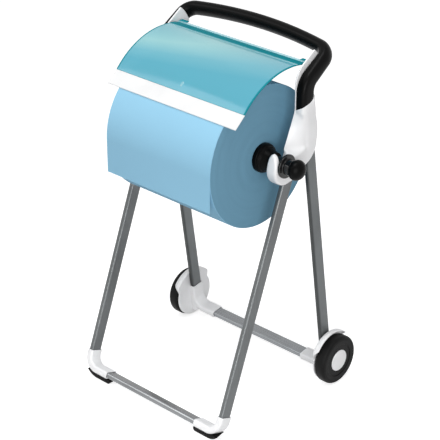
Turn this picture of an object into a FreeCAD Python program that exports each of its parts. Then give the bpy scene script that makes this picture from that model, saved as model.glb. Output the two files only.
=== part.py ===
import FreeCAD, Part
import math
import os

import Sketcher

# Paper roll floor stand: an A-frame on two feet and two wheels, with a push handle,
# a hinged clear cover with a tear bar, and a wide wiper roll on a lift-out spindle.
# Origin: on the floor, midway between the front of the feet and the back of the wheels.
# X runs along the roll, Y points to the wheels, Z is up. All sizes are in millimetres.

doc = FreeCAD.newDocument("PaperRollFloorStand")
sheet = doc.addObject("Spreadsheet::Sheet", "Sizes")

DRIVING_SIZES = {
    # Whole stand
    "overall_depth": 523.4,
    "roll_width": 370.0,
    "leg_gap": 62.5,
    # Flat oval steel tube of the legs and crossbars
    "tube_width": 35.0,
    "tube_thickness": 15.0,
    "tube_wall": 1.5,
    "tube_corner": 5.0,
    "front_leg_top_back": 49.5,
    "front_leg_top_up": 8.0,
    "rear_leg_top_back": 106.5,
    "rear_leg_top_up": 35.0,
    "front_bar_forward": 242.9,
    "front_bar_height": 23.4,
    "rear_bar_height": 38.6,
    # Roll of paper and its core
    "roll_radius": 192.0,
    "roll_axis_forward": 19.5,
    "roll_axis_height": 730.0,
    "core_radius": 34.0,
    "core_wall": 4.0,
    "tail_inset": 1.0,
    "tail_thickness": 0.4,
    "tail_gap": 0.4,
    "tail_drop": 93.0,
    "tail_top_angle": 118.0,
    # Spindle
    "shaft_radius": 8.0,
    "journal_radius": 18.0,
    "running_clearance": 0.06,
    "cone_flange_radius": 39.0,
    "cone_flange_thickness": 14.0,
    "cone_neck_radius": 25.0,
    "cone_neck_run": 24.0,
    "cone_plug_depth": 40.0,
    "cone_plug_taper": 3.0,
    "collar_flange_radius": 32.0,
    "collar_flange_thickness": 7.0,
    "collar_hub_radius": 21.0,
    "collar_hub_length": 18.0,
    "knob_radius": 27.0,
    "knob_length": 30.0,
    "knob_reach": 75.5,
    "knob_edge": 12.5,
    "end_play": 0.6,
    # Side brackets
    "bracket_thickness": 33.0,
    "plate_thickness": 4.5,
    "plate_rear_depth": 21.0,
    "plate_front_depth": 21.0,
    "plate_top_front_depth": 36.0,
    "plate_top_reach": 62.0,
    "plate_end_rear_cut": 2.0,
    "plate_end_front_cut": 5.0,
    "plate_margin": 1.5,
    "hook_radius": 44.0,
    "hook_offset_back": 6.0,
    "hook_offset_down": 12.0,
    "prong_height": 36.0,
    "prong_tip_radius": 7.5,
    "front_edge_lean": 23.4,
    "front_edge_height": 113.0,
    "bracket_rear": 126.0,
    "belly_start_back": 24.0,
    "belly_start_rise": 3.0,
    "belly_end_forward": 38.0,
    "belly_end_drop": 24.0,
    "rear_low_height": 30.0,
    "rear_low_forward": 1.0,
    "rear_low_cut": 12.0,
    "rear_low_cut_drop": 4.0,
    "rear_high_height": 100.0,
    "rear_high_forward": 6.0,
    "rear_bulge": 1.0,
    "rear_bulge_height": 66.0,
    "seat_rear_height": 160.0,
    "seat_middle_height": 136.0,
    "seat_middle_forward": 15.0,
    "seat_front_rise": 9.0,
    "seat_front_back": 1.0,
    "facet_foot": 14.0,
    "facet_foot_rise": 4.0,
    "facet_overrun": 12.0,
    "facet_top_forward": 4.0,
    "facet_crease_back": 90.0,
    "socket_clearance": 0.1,
    "leg_screw_drop": 22.0,
    # Handle
    "handle_width": 32.0,
    "handle_depth": 45.0,
    "handle_arm_back": 90.0,
    "handle_arm_base": 116.0,
    "handle_bend_drop": 36.4,
    "handle_bend_radius": 45.0,
    "handle_rise_angle": 33.0,
    "handle_reach": 134.0,
    "handle_arch_radius": 1300.0,
    "handle_corner_radius": 37.0,
    "tongue_gap": 0.2,
    "handle_screw_drop": 20.0,
    "handle_screw_run": 24.0,
    # Cover and tear bar
    "cover_radius": 228.0,
    "cover_centre_back": 58.0,
    "cover_centre_up": 10.0,
    "cover_end_gap": 6.0,
    "cover_thickness": 2.5,
    "cover_front_angle": 138.3,
    "cover_tab_length": 26.0,
    "cover_tab_depth": 13.0,
    "hinge_angle": 73.2,
    "hinge_barrel_radius": 6.5,
    "hinge_pin_radius": 3.0,
    "hinge_pin_grip": 16.0,
    "hinge_pin_setback": 6.0,
    "bar_depth": 45.0,
    "bar_thickness": 1.6,
    "bar_slope_angle": 40.8,
    "bar_tooth_pitch": 3.0,
    "bar_tooth_depth": 2.4,
    # Corner mouldings and feet
    "moulding_wall": 3.0,
    "moulding_corner": 6.5,
    "bend_radius": 35.0,
    "front_socket_top": 79.0,
    "rear_socket_top": 112.0,
    "bar_socket_setback": 79.5,
    "socket_reach": 12.0,
    "boss_drop": 4.0,
    "pad_setback": 86.5,
    "pad_front": 256.5,
    "pad_width": 47.0,
    "pad_taper": 8.0,
    "pad_thickness": 16.0,
    "pad_bend_radius": 48.0,
    "pad_top_height": 17.0,
    "pad_proud": 2.5,
    # Wheels, their axles and fenders
    "wheel_radius": 71.0,
    "wheel_width": 34.0,
    "wheel_reach": 50.5,
    "tyre_inner_radius": 47.0,
    "tyre_shoulder": 9.0,
    "hub_recess": 2.0,
    "hub_web": 12.0,
    "hub_boss_radius": 14.0,
    "cap_radius": 31.0,
    "cap_dome": 4.0,
    "axle_radius": 6.0,
    "axle_reach": 41.5,
    "clip_radius": 10.0,
    "clip_thickness": 2.0,
    "clip_setback": 3.0,
    "fender_setout": 10.0,
    "fender_thickness": 3.5,
    "fender_radius": 70.0,
    "lip_radius": 81.0,
    "lip_thickness": 3.0,
    "lip_reach": 28.5,
    "lip_front_angle": 155.0,
    "lip_rear_angle": 45.0,
    # Screws
    "screw_radius": 2.5,
    "screw_head_radius": 5.0,
    "screw_head_height": 2.5,
    "screw_clearance": 0.1,
    "screw_end_wall": 4.0,
    "leg_screw_length": 24.0,
    "handle_screw_length": 20.0,
}

for row, (name, value) in enumerate(DRIVING_SIZES.items(), start=1):
    sheet.set(f"A{row}", name)
    sheet.set(f"B{row}", str(value))
    sheet.setAlias(f"B{row}", name)
doc.recompute()


class Linked(float):
    """A length that remembers the sheet formula it comes from."""

    def __new__(cls, value, formula):
        number = super().__new__(cls, value)
        number.formula = formula
        return number

    def joined(self, other, sign, value, flipped=False):
        pair = (formula_of(other), self.formula) if flipped else (self.formula, formula_of(other))
        return Linked(value, f"({pair[0]} {sign} {pair[1]})")

    def __add__(self, other):
        return self.joined(other, "+", float(self) + float(other))

    def __radd__(self, other):
        return self.joined(other, "+", float(other) + float(self), True)

    def __sub__(self, other):
        return self.joined(other, "-", float(self) - float(other))

    def __rsub__(self, other):
        return self.joined(other, "-", float(other) - float(self), True)

    def __mul__(self, other):
        return self.joined(other, "*", float(self) * float(other))

    def __rmul__(self, other):
        return self.joined(other, "*", float(other) * float(self), True)

    def __truediv__(self, other):
        return self.joined(other, "/", float(self) / float(other))

    def __neg__(self):
        return Linked(-float(self), f"(-1 * {self.formula})")


def formula_of(number):
    return getattr(number, "formula", repr(float(number)))


def size(name):
    """A driving size, read from the sheet."""
    return Linked(float(sheet.get(name)), f"Sizes.{name}")


def vec(x, y, z):
    return FreeCAD.Vector(float(x), float(y), float(z))


X_AXIS = vec(1, 0, 0)
Y_AXIS = vec(0, 1, 0)
Z_AXIS = vec(0, 0, 1)
# Share of a piece's thickness that its rounded edge takes
EDGE_SHARE = 0.6
# How far cutting shapes reach past the faces they cut
CUT_MARGIN = 10.0
# Two lengths closer than this are the same when an edge is looked up
SAME_LENGTH = 0.01
SIDES = {"left": -1, "right": 1}
nodes = []


def keep(label, shape):
    """A sub-part whose shape is made by Part's own functions."""
    part = doc.addObject("Part::Feature", label)
    part.Label = label
    part.Shape = shape
    part.Placement = shape.Placement
    nodes.append(part)
    return part


# Sketched bodies

def new_body(label, placement=None):
    body = doc.addObject("PartDesign::Body", label)
    body.Label = label
    body.Placement = placement or FreeCAD.Placement()
    nodes.append(body)
    return body


def origin_plane(body, role):
    return [item for item in body.Origin.OriginFeatures if item.Role == role][0]


def new_sketch(body, name, role, lift=None):
    """A sketch on one of the body's own planes, lifted off it by an expression."""
    sketch = body.newObject("Sketcher::SketchObject", f"{body.Label}_{name}")
    sketch.AttachmentSupport = [(origin_plane(body, role), "")]
    sketch.MapMode = "FlatFace"
    if lift:
        sketch.setExpression("AttachmentOffset.Base.z", formula_of(lift))
    return sketch


def hold(sketch, geometry, point, across, up):
    """Holds a point of the sketch at two lengths from its origin."""
    for kind, length, axis in (("DistanceX", across, -2), ("DistanceY", up, -1)):
        if length == 0:
            sketch.addConstraint(Sketcher.Constraint("PointOnObject", geometry, point, axis))
            continue
        number = sketch.addConstraint(
            Sketcher.Constraint(kind, -1, 1, geometry, point, float(length)))
        sketch.setExpression(f"Constraints[{number}]", formula_of(length))


def draw_profile(sketch, corners):
    """A closed outline of straight lines, each corner held by its two lengths."""
    points = [vec(across, up, 0) for across, up in corners]
    count = len(points)
    for index in range(count):
        sketch.addGeometry(Part.LineSegment(points[index], points[(index + 1) % count]))
    for index in range(count):
        following = (index + 1) % count
        sketch.addConstraint(Sketcher.Constraint("Coincident", index, 2, following, 1))
    for index, (across, up) in enumerate(corners):
        hold(sketch, index, 1, across, up)


def draw_box(sketch, width, height):
    """A rectangle centred on the sketch's origin."""
    half_width = width / 2
    half_height = height / 2
    draw_profile(sketch, [
        (-half_width, -half_height),
        (half_width, -half_height),
        (half_width, half_height),
        (-half_width, half_height),
    ])


def draw_circle(sketch, radius, across=0, up=0):
    """A circle whose radius and centre are held by lengths of the sheet."""
    circle = sketch.addGeometry(Part.Circle(vec(across, up, 0), vec(0, 0, 1), float(radius)))
    number = sketch.addConstraint(Sketcher.Constraint("Radius", circle, float(radius)))
    sketch.setExpression(f"Constraints[{number}]", formula_of(radius))
    hold(sketch, circle, 3, across, up)


def add_pad(body, sketch, length, midplane=False):
    pad = body.newObject("PartDesign::Pad", f"{sketch.Name}_pad")
    pad.Profile = sketch
    pad.setExpression("Length", formula_of(length))
    pad.Midplane = midplane
    doc.recompute()
    return pad


def add_through_pocket(body, sketch):
    """A cut right through, both ways; the body has to get smaller."""
    before = body.Shape.Volume
    pocket = body.newObject("PartDesign::Pocket", f"{sketch.Name}_pocket")
    pocket.Profile = sketch
    pocket.Type = 1
    pocket.Midplane = True
    doc.recompute()
    if body.Shape.Volume >= before:
        raise RuntimeError(f"{sketch.Name} cuts nothing")
    return pocket


def add_fillet(body, feature, edges, radius):
    fillet = body.newObject("PartDesign::Fillet", f"{feature.Name}_fillet")
    fillet.Base = (feature, edges)
    fillet.setExpression("Radius", formula_of(radius))
    doc.recompute()
    return fillet


def edges_where(shape, test):
    return [f"Edge{index}" for index, edge in enumerate(shape.Edges, start=1) if test(edge)]


def revolve(body, corners):
    """A solid of revolution about the body's X axis, from (along, radius) corners."""
    sketch = new_sketch(body, "profile", "XY_Plane")
    draw_profile(sketch, corners)
    feature = body.newObject("PartDesign::Revolution", f"{body.Label}_turn")
    feature.Profile = sketch
    feature.ReferenceAxis = (sketch, ["H_Axis"])
    feature.Angle = 360
    doc.recompute()
    return feature


def is_ring(edge, along, radius):
    """True for a circle about the body's X axis at this place and radius."""
    curve = edge.Curve
    if not isinstance(curve, Part.Circle):
        return False
    return abs(curve.Center.x - along) < SAME_LENGTH and abs(curve.Radius - radius) < SAME_LENGTH


def rings_at(feature, places, radius):
    """The round edges of this radius at any of the places along X."""
    return edges_where(
        feature.Shape, lambda edge: any(is_ring(edge, place, radius) for place in places))


def at(x, y, z):
    return FreeCAD.Placement(vec(x, y, z), FreeCAD.Rotation())


# Places that several pieces share

roll_y = -size("roll_axis_forward")
roll_z = size("roll_axis_height")
roll_half = size("roll_width") / 2
leg_x = roll_half + size("leg_gap")
axle_y = size("overall_depth") / 2 - size("wheel_radius")
axle_z = size("wheel_radius")
front_lean = math.atan2(
    roll_y + size("front_leg_top_back") + size("front_bar_forward"),
    roll_z + size("front_leg_top_up") - size("front_bar_height"))
rear_lean = math.atan2(
    axle_y - roll_y - size("rear_leg_top_back"), roll_z + size("rear_leg_top_up") - axle_z)
rear_ground_y = axle_y + axle_z * math.tan(rear_lean)
front_ground_y = -size("front_bar_forward") - size("front_bar_height") * math.tan(front_lean)
bracket_inner = leg_x - size("bracket_thickness") / 2
bracket_outer = leg_x + size("bracket_thickness") / 2
slot_radius = size("journal_radius") + size("running_clearance")
cover_half = bracket_inner - size("cover_end_gap")
knob_end = leg_x + size("knob_reach")
wheel_face = leg_x + size("wheel_reach")
axle_end = leg_x + size("axle_reach")

# Each U of tube has its own frame: X along the bar, local Y across the tube, local Z up the leg.
front_frame = FreeCAD.Placement(
    vec(0, front_ground_y, 0), FreeCAD.Rotation(X_AXIS, -math.degrees(front_lean)))
rear_frame = FreeCAD.Placement(
    vec(0, rear_ground_y, 0), FreeCAD.Rotation(X_AXIS, math.degrees(rear_lean)))
U_FRAMES = {
    "front": (front_frame, front_lean, size("front_bar_height") / math.cos(front_lean)),
    "rear": (rear_frame, rear_lean, size("rear_bar_height") / math.cos(rear_lean)),
}


def leg_top(end):
    return float((roll_z + size(f"{end}_leg_top_up")) / math.cos(U_FRAMES[end][1]))


def leg_foot(end):
    """Where the leg's tube stops inside its corner moulding, along the leg."""
    return float(U_FRAMES[end][2] + size("bend_radius") - size("socket_reach"))


# Legs and crossbars

def tube(label, length, placement):
    """Flat oval tube, centred on local Z, standing on the local XY plane."""
    body = new_body(label, placement)
    outer = new_sketch(body, "outer", "XY_Plane")
    draw_box(outer, size("tube_thickness"), size("tube_width"))
    pad = add_pad(body, outer, length)
    corners = edges_where(pad.Shape, lambda edge: abs(edge.Length - length) < SAME_LENGTH)
    add_fillet(body, pad, corners, size("tube_corner"))
    bore = new_sketch(body, "bore", "XY_Plane")
    walls = 2 * size("tube_wall")
    draw_box(bore, size("tube_thickness") - walls, size("tube_width") - walls)
    pocket = add_through_pocket(body, bore)
    inside = edges_where(pocket.Shape, lambda edge: is_bore_corner(edge, length))
    add_fillet(body, pocket, inside, size("tube_corner") - size("tube_wall"))
    return body


def is_bore_corner(edge, length):
    """True for the four long edges of a tube's bore."""
    across = size("tube_thickness") / 2 - size("tube_wall")
    middle = edge.BoundBox.Center
    return abs(edge.Length - length) < SAME_LENGTH and abs(abs(middle.x) - across) < SAME_LENGTH


def drill_across(body, name, radius, height):
    """A round hole across the thin way of a tube, at this height up its length."""
    hole = new_sketch(body, name, "YZ_Plane")
    draw_circle(hole, radius, 0, height)
    add_through_pocket(body, hole)


def make_legs():
    for end, (frame, lean, bar_height) in U_FRAMES.items():
        foot = leg_foot(end)
        length = leg_top(end) - foot
        for side, sign in SIDES.items():
            place = frame.multiply(at(sign * leg_x, 0, foot))
            body = tube(f"{end}_leg_{side}", length, place)
            screw_radius = size("screw_radius") + size("screw_clearance")
            drill_across(body, "screw_hole", screw_radius, length - size("leg_screw_drop"))
            if end == "rear":
                drill_across(body, "axle_hole", size("axle_radius"), axle_z / math.cos(lean) - foot)


def make_crossbars():
    half = leg_x - size("bend_radius") + size("socket_reach")
    turn = FreeCAD.Rotation(Y_AXIS, 90)
    for end, (frame, lean, bar_height) in U_FRAMES.items():
        place = frame.multiply(FreeCAD.Placement(vec(-half, 0, bar_height), turn))
        tube(f"{end}_crossbar", 2 * half, place)


# Corner mouldings

def rounded_box_wire(centre, across, deep, width, depth, corner):
    """A rounded rectangle in the plane of two unit directions."""
    half_w = width / 2
    half_d = depth / 2
    place = [(half_w, half_d), (-half_w, half_d), (-half_w, -half_d), (half_w, -half_d)]
    edges = []
    diagonal = corner * (1 - math.sqrt(0.5))
    for index, (u, v) in enumerate(place):
        next_u, next_v = place[(index + 1) % 4]
        sign_u = math.copysign(1, u)
        sign_v = math.copysign(1, v)
        upright = index % 2 == 1
        side_point = centre + across * u + deep * (v - sign_v * corner)
        flat_point = centre + across * (u - sign_u * corner) + deep * v
        middle = centre + across * (u - sign_u * diagonal) + deep * (v - sign_v * diagonal)
        first, last = (flat_point, side_point) if upright else (side_point, flat_point)
        edges.append(Part.Arc(first, middle, last).toShape())
        next_sign_u = math.copysign(1, next_u)
        next_sign_v = math.copysign(1, next_v)
        if upright:
            following = centre + across * next_u + deep * (next_v - next_sign_v * corner)
        else:
            following = centre + across * (next_u - next_sign_u * corner) + deep * next_v
        edges.append(Part.LineSegment(last, following).toShape())
    return Part.Wire(edges)


def bend_path(sign, top, level):
    """Down the leg, round one bend and along the bar."""
    radius = size("bend_radius")
    start = vec(sign * leg_x, 0, top)
    first = vec(sign * leg_x, 0, level + radius)
    shift = radius * (1 - math.sqrt(0.5))
    middle = vec(sign * (leg_x - shift), 0, level + shift)
    last = vec(sign * (leg_x - radius), 0, level)
    finish = vec(sign * (leg_x - size("bar_socket_setback")), 0, level)
    return Part.Wire([
        Part.LineSegment(start, first).toShape(),
        Part.Arc(first, middle, last).toShape(),
        Part.LineSegment(last, finish).toShape(),
    ])


def swept(path, profile):
    solid = path.makePipeShell([profile], True, False)
    return Part.Solid(solid) if solid.ShapeType == "Shell" else solid


def moulding_bend(end, side):
    """The outer form of a corner moulding, in the frame of its U."""
    sign = SIDES[side]
    level = U_FRAMES[end][2]
    top = size(f"{end}_socket_top")
    path = bend_path(sign, top, level)
    extra = 2 * size("moulding_wall")
    profile = rounded_box_wire(
        vec(sign * leg_x, 0, top), X_AXIS, Y_AXIS,
        size("tube_thickness") + extra, size("tube_width") + extra, size("moulding_corner"))
    return swept(path, profile)


def tube_space(start, across, run):
    """The space that a tube with its socket clearance takes, from a start along a run."""
    gap = size("socket_clearance")
    mouth = rounded_box_wire(start, across, Y_AXIS, size("tube_thickness") + 2 * gap,
                             size("tube_width") + 2 * gap, size("tube_corner") + gap)
    return Part.Face(mouth).extrude(run)


def crossbar_space(end, side):
    sign = SIDES[side]
    reach = leg_x - size("bend_radius") + size("socket_reach") + size("socket_clearance")
    return tube_space(vec(0, 0, U_FRAMES[end][2]), Z_AXIS, vec(sign * reach, 0, 0))


def socket_cuts(end, side):
    """The spaces that the leg and the crossbar fill inside a corner moulding."""
    foot = vec(SIDES[side] * leg_x, 0, leg_foot(end) - size("socket_clearance"))
    leg_space = tube_space(foot, X_AXIS, vec(0, 0, leg_top(end)))
    return leg_space.fuse(crossbar_space(end, side))


def screw_solid(place, direction, length):
    """A pan-head screw: place is under the head, direction runs down the shank."""
    shank = Part.makeCylinder(size("screw_radius"), length, place, direction)
    head = Part.makeCylinder(
        size("screw_head_radius"), size("screw_head_height"), place, direction * -1)
    rim = [edge for edge in head.Edges
           if isinstance(edge.Curve, Part.Circle)
           and (edge.Curve.Center - place).dot(direction) < -0.1]
    head = head.makeFillet(size("screw_head_height") * EDGE_SHARE, rim)
    return shank.fuse(head).removeSplitter()


def screw_hole(place, direction, length):
    radius = size("screw_radius") + size("screw_clearance")
    return Part.makeCylinder(radius, length, place, direction)


def make_front_corners():
    for side in SIDES:
        shape = moulding_bend("front", side).cut(socket_cuts("front", side))
        shape.Placement = front_frame
        keep(f"front_corner_{side}", shape)


def make_foot_pads():
    """Rubber pads that cup the front mouldings and stand flat on the floor."""
    radius = size("pad_bend_radius")
    outer = leg_x + size("tube_thickness") / 2 + size("moulding_wall") + size("pad_proud")
    centre_x = outer - radius
    diagonal = radius * math.sqrt(0.5)
    thick = size("pad_thickness")
    top = size("pad_top_height")
    inner_end = leg_x - size("pad_setback")
    round_off = thick / 2
    for side, sign in SIDES.items():
        def place(x, z):
            return vec(sign * x, -size("pad_front"), z)

        outline = Part.Wire([
            Part.LineSegment(place(inner_end + round_off, 0), place(centre_x, 0)).toShape(),
            Part.Arc(place(centre_x, 0), place(centre_x + diagonal, radius - diagonal),
                     place(outer, radius)).toShape(),
            Part.LineSegment(place(outer, radius), place(outer - thick, radius)).toShape(),
            Part.LineSegment(place(outer - thick, radius), place(centre_x, thick)).toShape(),
            Part.LineSegment(place(centre_x, thick), place(inner_end + round_off, thick)).toShape(),
            Part.Arc(place(inner_end + round_off, thick), place(inner_end, round_off),
                     place(inner_end + round_off, 0)).toShape(),
        ])
        straight = Part.Face(outline).extrude(vec(0, size("pad_width"), 0))
        drawn_in = vec(-sign * size("pad_taper"), size("pad_width"), 0)
        pad = straight.common(Part.Face(outline).extrude(drawn_in))
        above = Part.makeBox(radius * 2, size("pad_width") * 2, radius,
                             vec(sign * centre_x - radius, -size("pad_front") - CUT_MARGIN, top))
        moulding_rear = size("tube_width") / 2 + size("moulding_wall")
        behind = Part.makeBox(4 * leg_x, size("pad_width"), 2 * radius,
                              vec(-2 * leg_x, moulding_rear, -radius))
        behind.Placement = front_frame
        seat = moulding_bend("front", side).fuse(crossbar_space("front", side))
        seat.Placement = front_frame
        pad = pad.cut(above).cut(behind).cut(seat)
        keep(f"front_foot_{side}", max(pad.Solids, key=lambda solid: solid.Volume))


def fender(side):
    """The disc inboard of the wheel and the lip over its tread, in world places."""
    sign = SIDES[side]
    inner = leg_x + size("fender_setout")
    disc_thick = size("fender_thickness")
    centre = vec(sign * inner, axle_y, axle_z)
    outward = vec(sign, 0, 0)
    disc = Part.makeCylinder(size("fender_radius"), disc_thick, centre, outward)
    reach = size("lip_reach") - size("fender_setout")
    lip_ring = Part.makeCylinder(size("lip_radius"), reach, centre, outward)
    hollow_start = centre + outward * disc_thick
    hollow = Part.makeCylinder(
        size("lip_radius") - size("lip_thickness"), reach, hollow_start, outward)
    lip_ring = lip_ring.cut(hollow)
    first = math.radians(size("lip_rear_angle"))
    last = math.radians(size("lip_front_angle"))
    far = 2 * size("lip_radius")
    wedge_x = sign * (inner - CUT_MARGIN)
    corners = [vec(wedge_x, axle_y, axle_z)]
    wedge_parts = 3
    for step in range(wedge_parts + 1):
        angle = first + (last - first) * step / wedge_parts
        corners.append(vec(wedge_x, axle_y + far * math.cos(angle), axle_z + far * math.sin(angle)))
    corners.append(corners[0])
    wedge = Part.Face(Part.makePolygon(corners)).extrude(
        vec(sign * (reach + 2 * CUT_MARGIN), 0, 0))
    return disc.fuse(lip_ring.common(wedge))


def axle_boss(side):
    """The leg's part of a rear moulding, carried on straight down past the bend."""
    level = U_FRAMES["rear"][2]
    wall = size("moulding_wall")
    low = level - size("tube_thickness") / 2 - wall - size("boss_drop")
    section = rounded_box_wire(
        vec(SIDES[side] * leg_x, 0, low), X_AXIS, Y_AXIS, size("tube_thickness") + 2 * wall,
        size("tube_width") + 2 * wall, size("moulding_corner"))
    return Part.Face(section).extrude(vec(0, 0, level + size("bend_radius") - low))


def make_rear_corners():
    for side, sign in SIDES.items():
        bend = moulding_bend("rear", side).fuse(axle_boss(side))
        bend.Placement = rear_frame
        sockets = socket_cuts("rear", side)
        sockets.Placement = rear_frame
        axle_space = Part.makeCylinder(
            size("axle_radius"), wheel_face, vec(0, axle_y, axle_z), vec(sign, 0, 0))
        shape = bend.fuse(fender(side)).cut(sockets).cut(axle_space)
        keep(f"rear_corner_{side}", shape.removeSplitter())


# Wheels and axles

def wheel_inner_face():
    return wheel_face - size("wheel_width")


def clip_face():
    """The side of the retaining clip that faces the wheel hub."""
    return axle_end - size("clip_setback") - size("clip_thickness")


def axle_inner_end():
    """The axle starts flush with the inner side of the corner moulding."""
    return leg_x - size("tube_thickness") / 2 - size("moulding_wall")


def make_axles():
    for side, sign in SIDES.items():
        body = new_body(f"wheel_axle_{side}", at(0, axle_y, axle_z))
        section = new_sketch(body, "section", "YZ_Plane", sign * axle_inner_end())
        draw_circle(section, size("axle_radius"))
        pad = add_pad(body, section, axle_end - axle_inner_end())
        pad.Reversed = sign < 0
        doc.recompute()


def make_axle_clips():
    """Push-on retaining rings that hold the wheels on their axles."""
    for side, sign in SIDES.items():
        body = new_body(f"axle_clip_{side}", at(0, axle_y, axle_z))
        inner_face = clip_face()
        outer_face = inner_face + size("clip_thickness")
        revolve(body, [
            (sign * inner_face, size("axle_radius")),
            (sign * outer_face, size("axle_radius")),
            (sign * outer_face, size("clip_radius")),
            (sign * inner_face, size("clip_radius")),
        ])


def make_tyres():
    for side, sign in SIDES.items():
        body = new_body(f"tyre_{side}", at(0, axle_y, axle_z))
        outer_x = sign * wheel_face
        inner_x = sign * wheel_inner_face()
        turn = revolve(body, [
            (inner_x, size("tyre_inner_radius")),
            (outer_x, size("tyre_inner_radius")),
            (outer_x, size("wheel_radius")),
            (inner_x, size("wheel_radius")),
        ])
        add_fillet(body, turn, rings_at(turn, (outer_x, inner_x), size("wheel_radius")),
                   size("tyre_shoulder"))


def make_hubs():
    """Wheel centres: a rim under the tyre, a web and a boss that turns on the axle."""
    bore = size("axle_radius") + size("running_clearance")
    rim = size("tyre_inner_radius")
    boss_face = clip_face() - size("end_play")
    hub_face = wheel_face - size("hub_recess")
    for side, sign in SIDES.items():
        body = new_body(f"wheel_hub_{side}", at(0, axle_y, axle_z))
        revolve(body, [
            (sign * wheel_inner_face(), bore),
            (sign * boss_face, bore),
            (sign * boss_face, size("hub_boss_radius")),
            (sign * hub_face, size("hub_boss_radius") + size("hub_web")),
            (sign * hub_face, rim),
            (sign * wheel_inner_face(), rim),
        ])


def make_hub_caps():
    """Domed caps clipped over the wheel centres."""
    face = wheel_face - size("hub_recess")
    for side, sign in SIDES.items():
        body = new_body(f"hub_cap_{side}", at(0, axle_y, axle_z))
        rim_x = sign * (face + size("cap_dome"))
        turn = revolve(body, [
            (sign * face, 0),
            (rim_x, 0),
            (rim_x, size("cap_radius")),
            (sign * face, size("cap_radius")),
        ])
        add_fillet(body, turn, rings_at(turn, (rim_x,), size("cap_radius")),
                   size("cap_dome") * EDGE_SHARE)


# Side brackets, in a frame centred on the roll's axis

def side_face(points_and_arcs):
    """A face in the YZ plane from lines and three-point arcs; arcs carry a middle point."""
    edges = []
    start = points_and_arcs[0][0]
    current = start
    for step in points_and_arcs[1:] + [(start,)]:
        target = step[0]
        if len(step) == 2:
            edges.append(Part.Arc(vec(0, *current), vec(0, *step[1]), vec(0, *target)).toShape())
        else:
            edges.append(Part.LineSegment(vec(0, *current), vec(0, *target)).toShape())
        current = target
    return Part.Face(Part.Wire(edges))


def front_edge_point(height):
    """A point on the bracket's leaning front edge, which is tangent to the slot."""
    lean = math.radians(size("front_edge_lean"))
    foot_y = slot_radius * math.cos(lean)
    foot_z = -slot_radius * math.sin(lean)
    return (foot_y + (height - foot_z) * math.tan(lean), height)


def bracket_outline():
    """Hook for the spindle, body over both leg tops, and the curved seat under the handle."""
    lean = math.radians(size("front_edge_lean"))
    hook_y = size("hook_offset_back")
    hook_z = -size("hook_offset_down")
    hook = size("hook_radius")
    diagonal = hook * math.sqrt(0.5)
    tip = size("prong_tip_radius")
    prong_foot = size("prong_height") - tip
    rear = size("bracket_rear")
    arm_rear = size("handle_arm_back") + size("handle_depth") / 2
    front_top = front_edge_point(size("front_edge_height"))
    belly_start = (hook_y + size("belly_start_back"), hook_z - hook + size("belly_start_rise"))
    belly_end = (rear - size("belly_end_forward"), -size("belly_end_drop"))
    rear_low = (rear - size("rear_low_forward"), size("rear_low_height"))
    rear_low_middle = (rear - size("rear_low_cut"), -size("rear_low_cut_drop"))
    rear_high = (rear - size("rear_high_forward"), size("rear_high_height"))
    rear_high_middle = (rear + size("rear_bulge"), size("rear_bulge_height"))
    seat_rear = (arm_rear, size("seat_rear_height"))
    seat_middle = (arm_rear - size("seat_middle_forward"), size("seat_middle_height"))
    seat_front = (front_top[0] + size("seat_front_back"), front_top[1] + size("seat_front_rise"))
    return [
        (front_top,),
        ((slot_radius * math.cos(lean), -slot_radius * math.sin(lean)),),
        ((-slot_radius, 0), (0, -slot_radius)),
        ((-slot_radius, prong_foot),),
        ((-slot_radius - 2 * tip, prong_foot), (-slot_radius - tip, prong_foot + tip)),
        ((hook_y - hook, hook_z),),
        ((hook_y, hook_z - hook), (hook_y - diagonal, hook_z - diagonal)),
        (belly_start,),
        (belly_end,),
        (rear_low, rear_low_middle),
        (rear_high, rear_high_middle),
        (seat_rear,),
        (seat_front, seat_middle),
    ]


def facet_cut(side):
    """The wide facet from the inner front edge back to a crease on the outer face."""
    sign = SIDES[side]
    low = front_edge_point(size("facet_foot"))
    high = front_edge_point(size("front_edge_height") + size("facet_overrun"))
    crease_low = (size("facet_crease_back"), size("facet_foot") + size("facet_foot_rise"))
    crease_high = (high[0] - size("facet_top_forward"), high[1])
    sections = []
    for distance, bottom, top in (
            (bracket_inner, low, high), (bracket_outer, crease_low, crease_high)):
        x = sign * distance
        corners = [vec(x, 0, bottom[1]), vec(x, *bottom), vec(x, *top), vec(x, 0, top[1])]
        sections.append(Part.makePolygon(corners + corners[:1]))
    cut = Part.makeLoft(sections, True, True)
    return to_roll_frame(cut, 0)


def arm_corner_height():
    """Height of the arm's bend over the roll's axis: a little under the cover's hinge."""
    return hinge_place()[1] - size("handle_bend_drop")


def arm_bend():
    """The places of the arm's bend, seen from the side: start, middle, end and rise."""
    rise = math.radians(size("handle_rise_angle"))
    turn = math.pi / 2 - rise
    back = size("handle_arm_back")
    corner_z = arm_corner_height()
    radius = size("handle_bend_radius")
    run = radius * math.tan(turn / 2)
    start = (back, corner_z - run)
    end = (back + run * math.cos(rise), corner_z + run * math.sin(rise))
    half = math.pi - turn / 2
    middle = (back + radius + radius * math.cos(half), corner_z - run + radius * math.sin(half))
    return start, middle, end, rise


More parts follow.
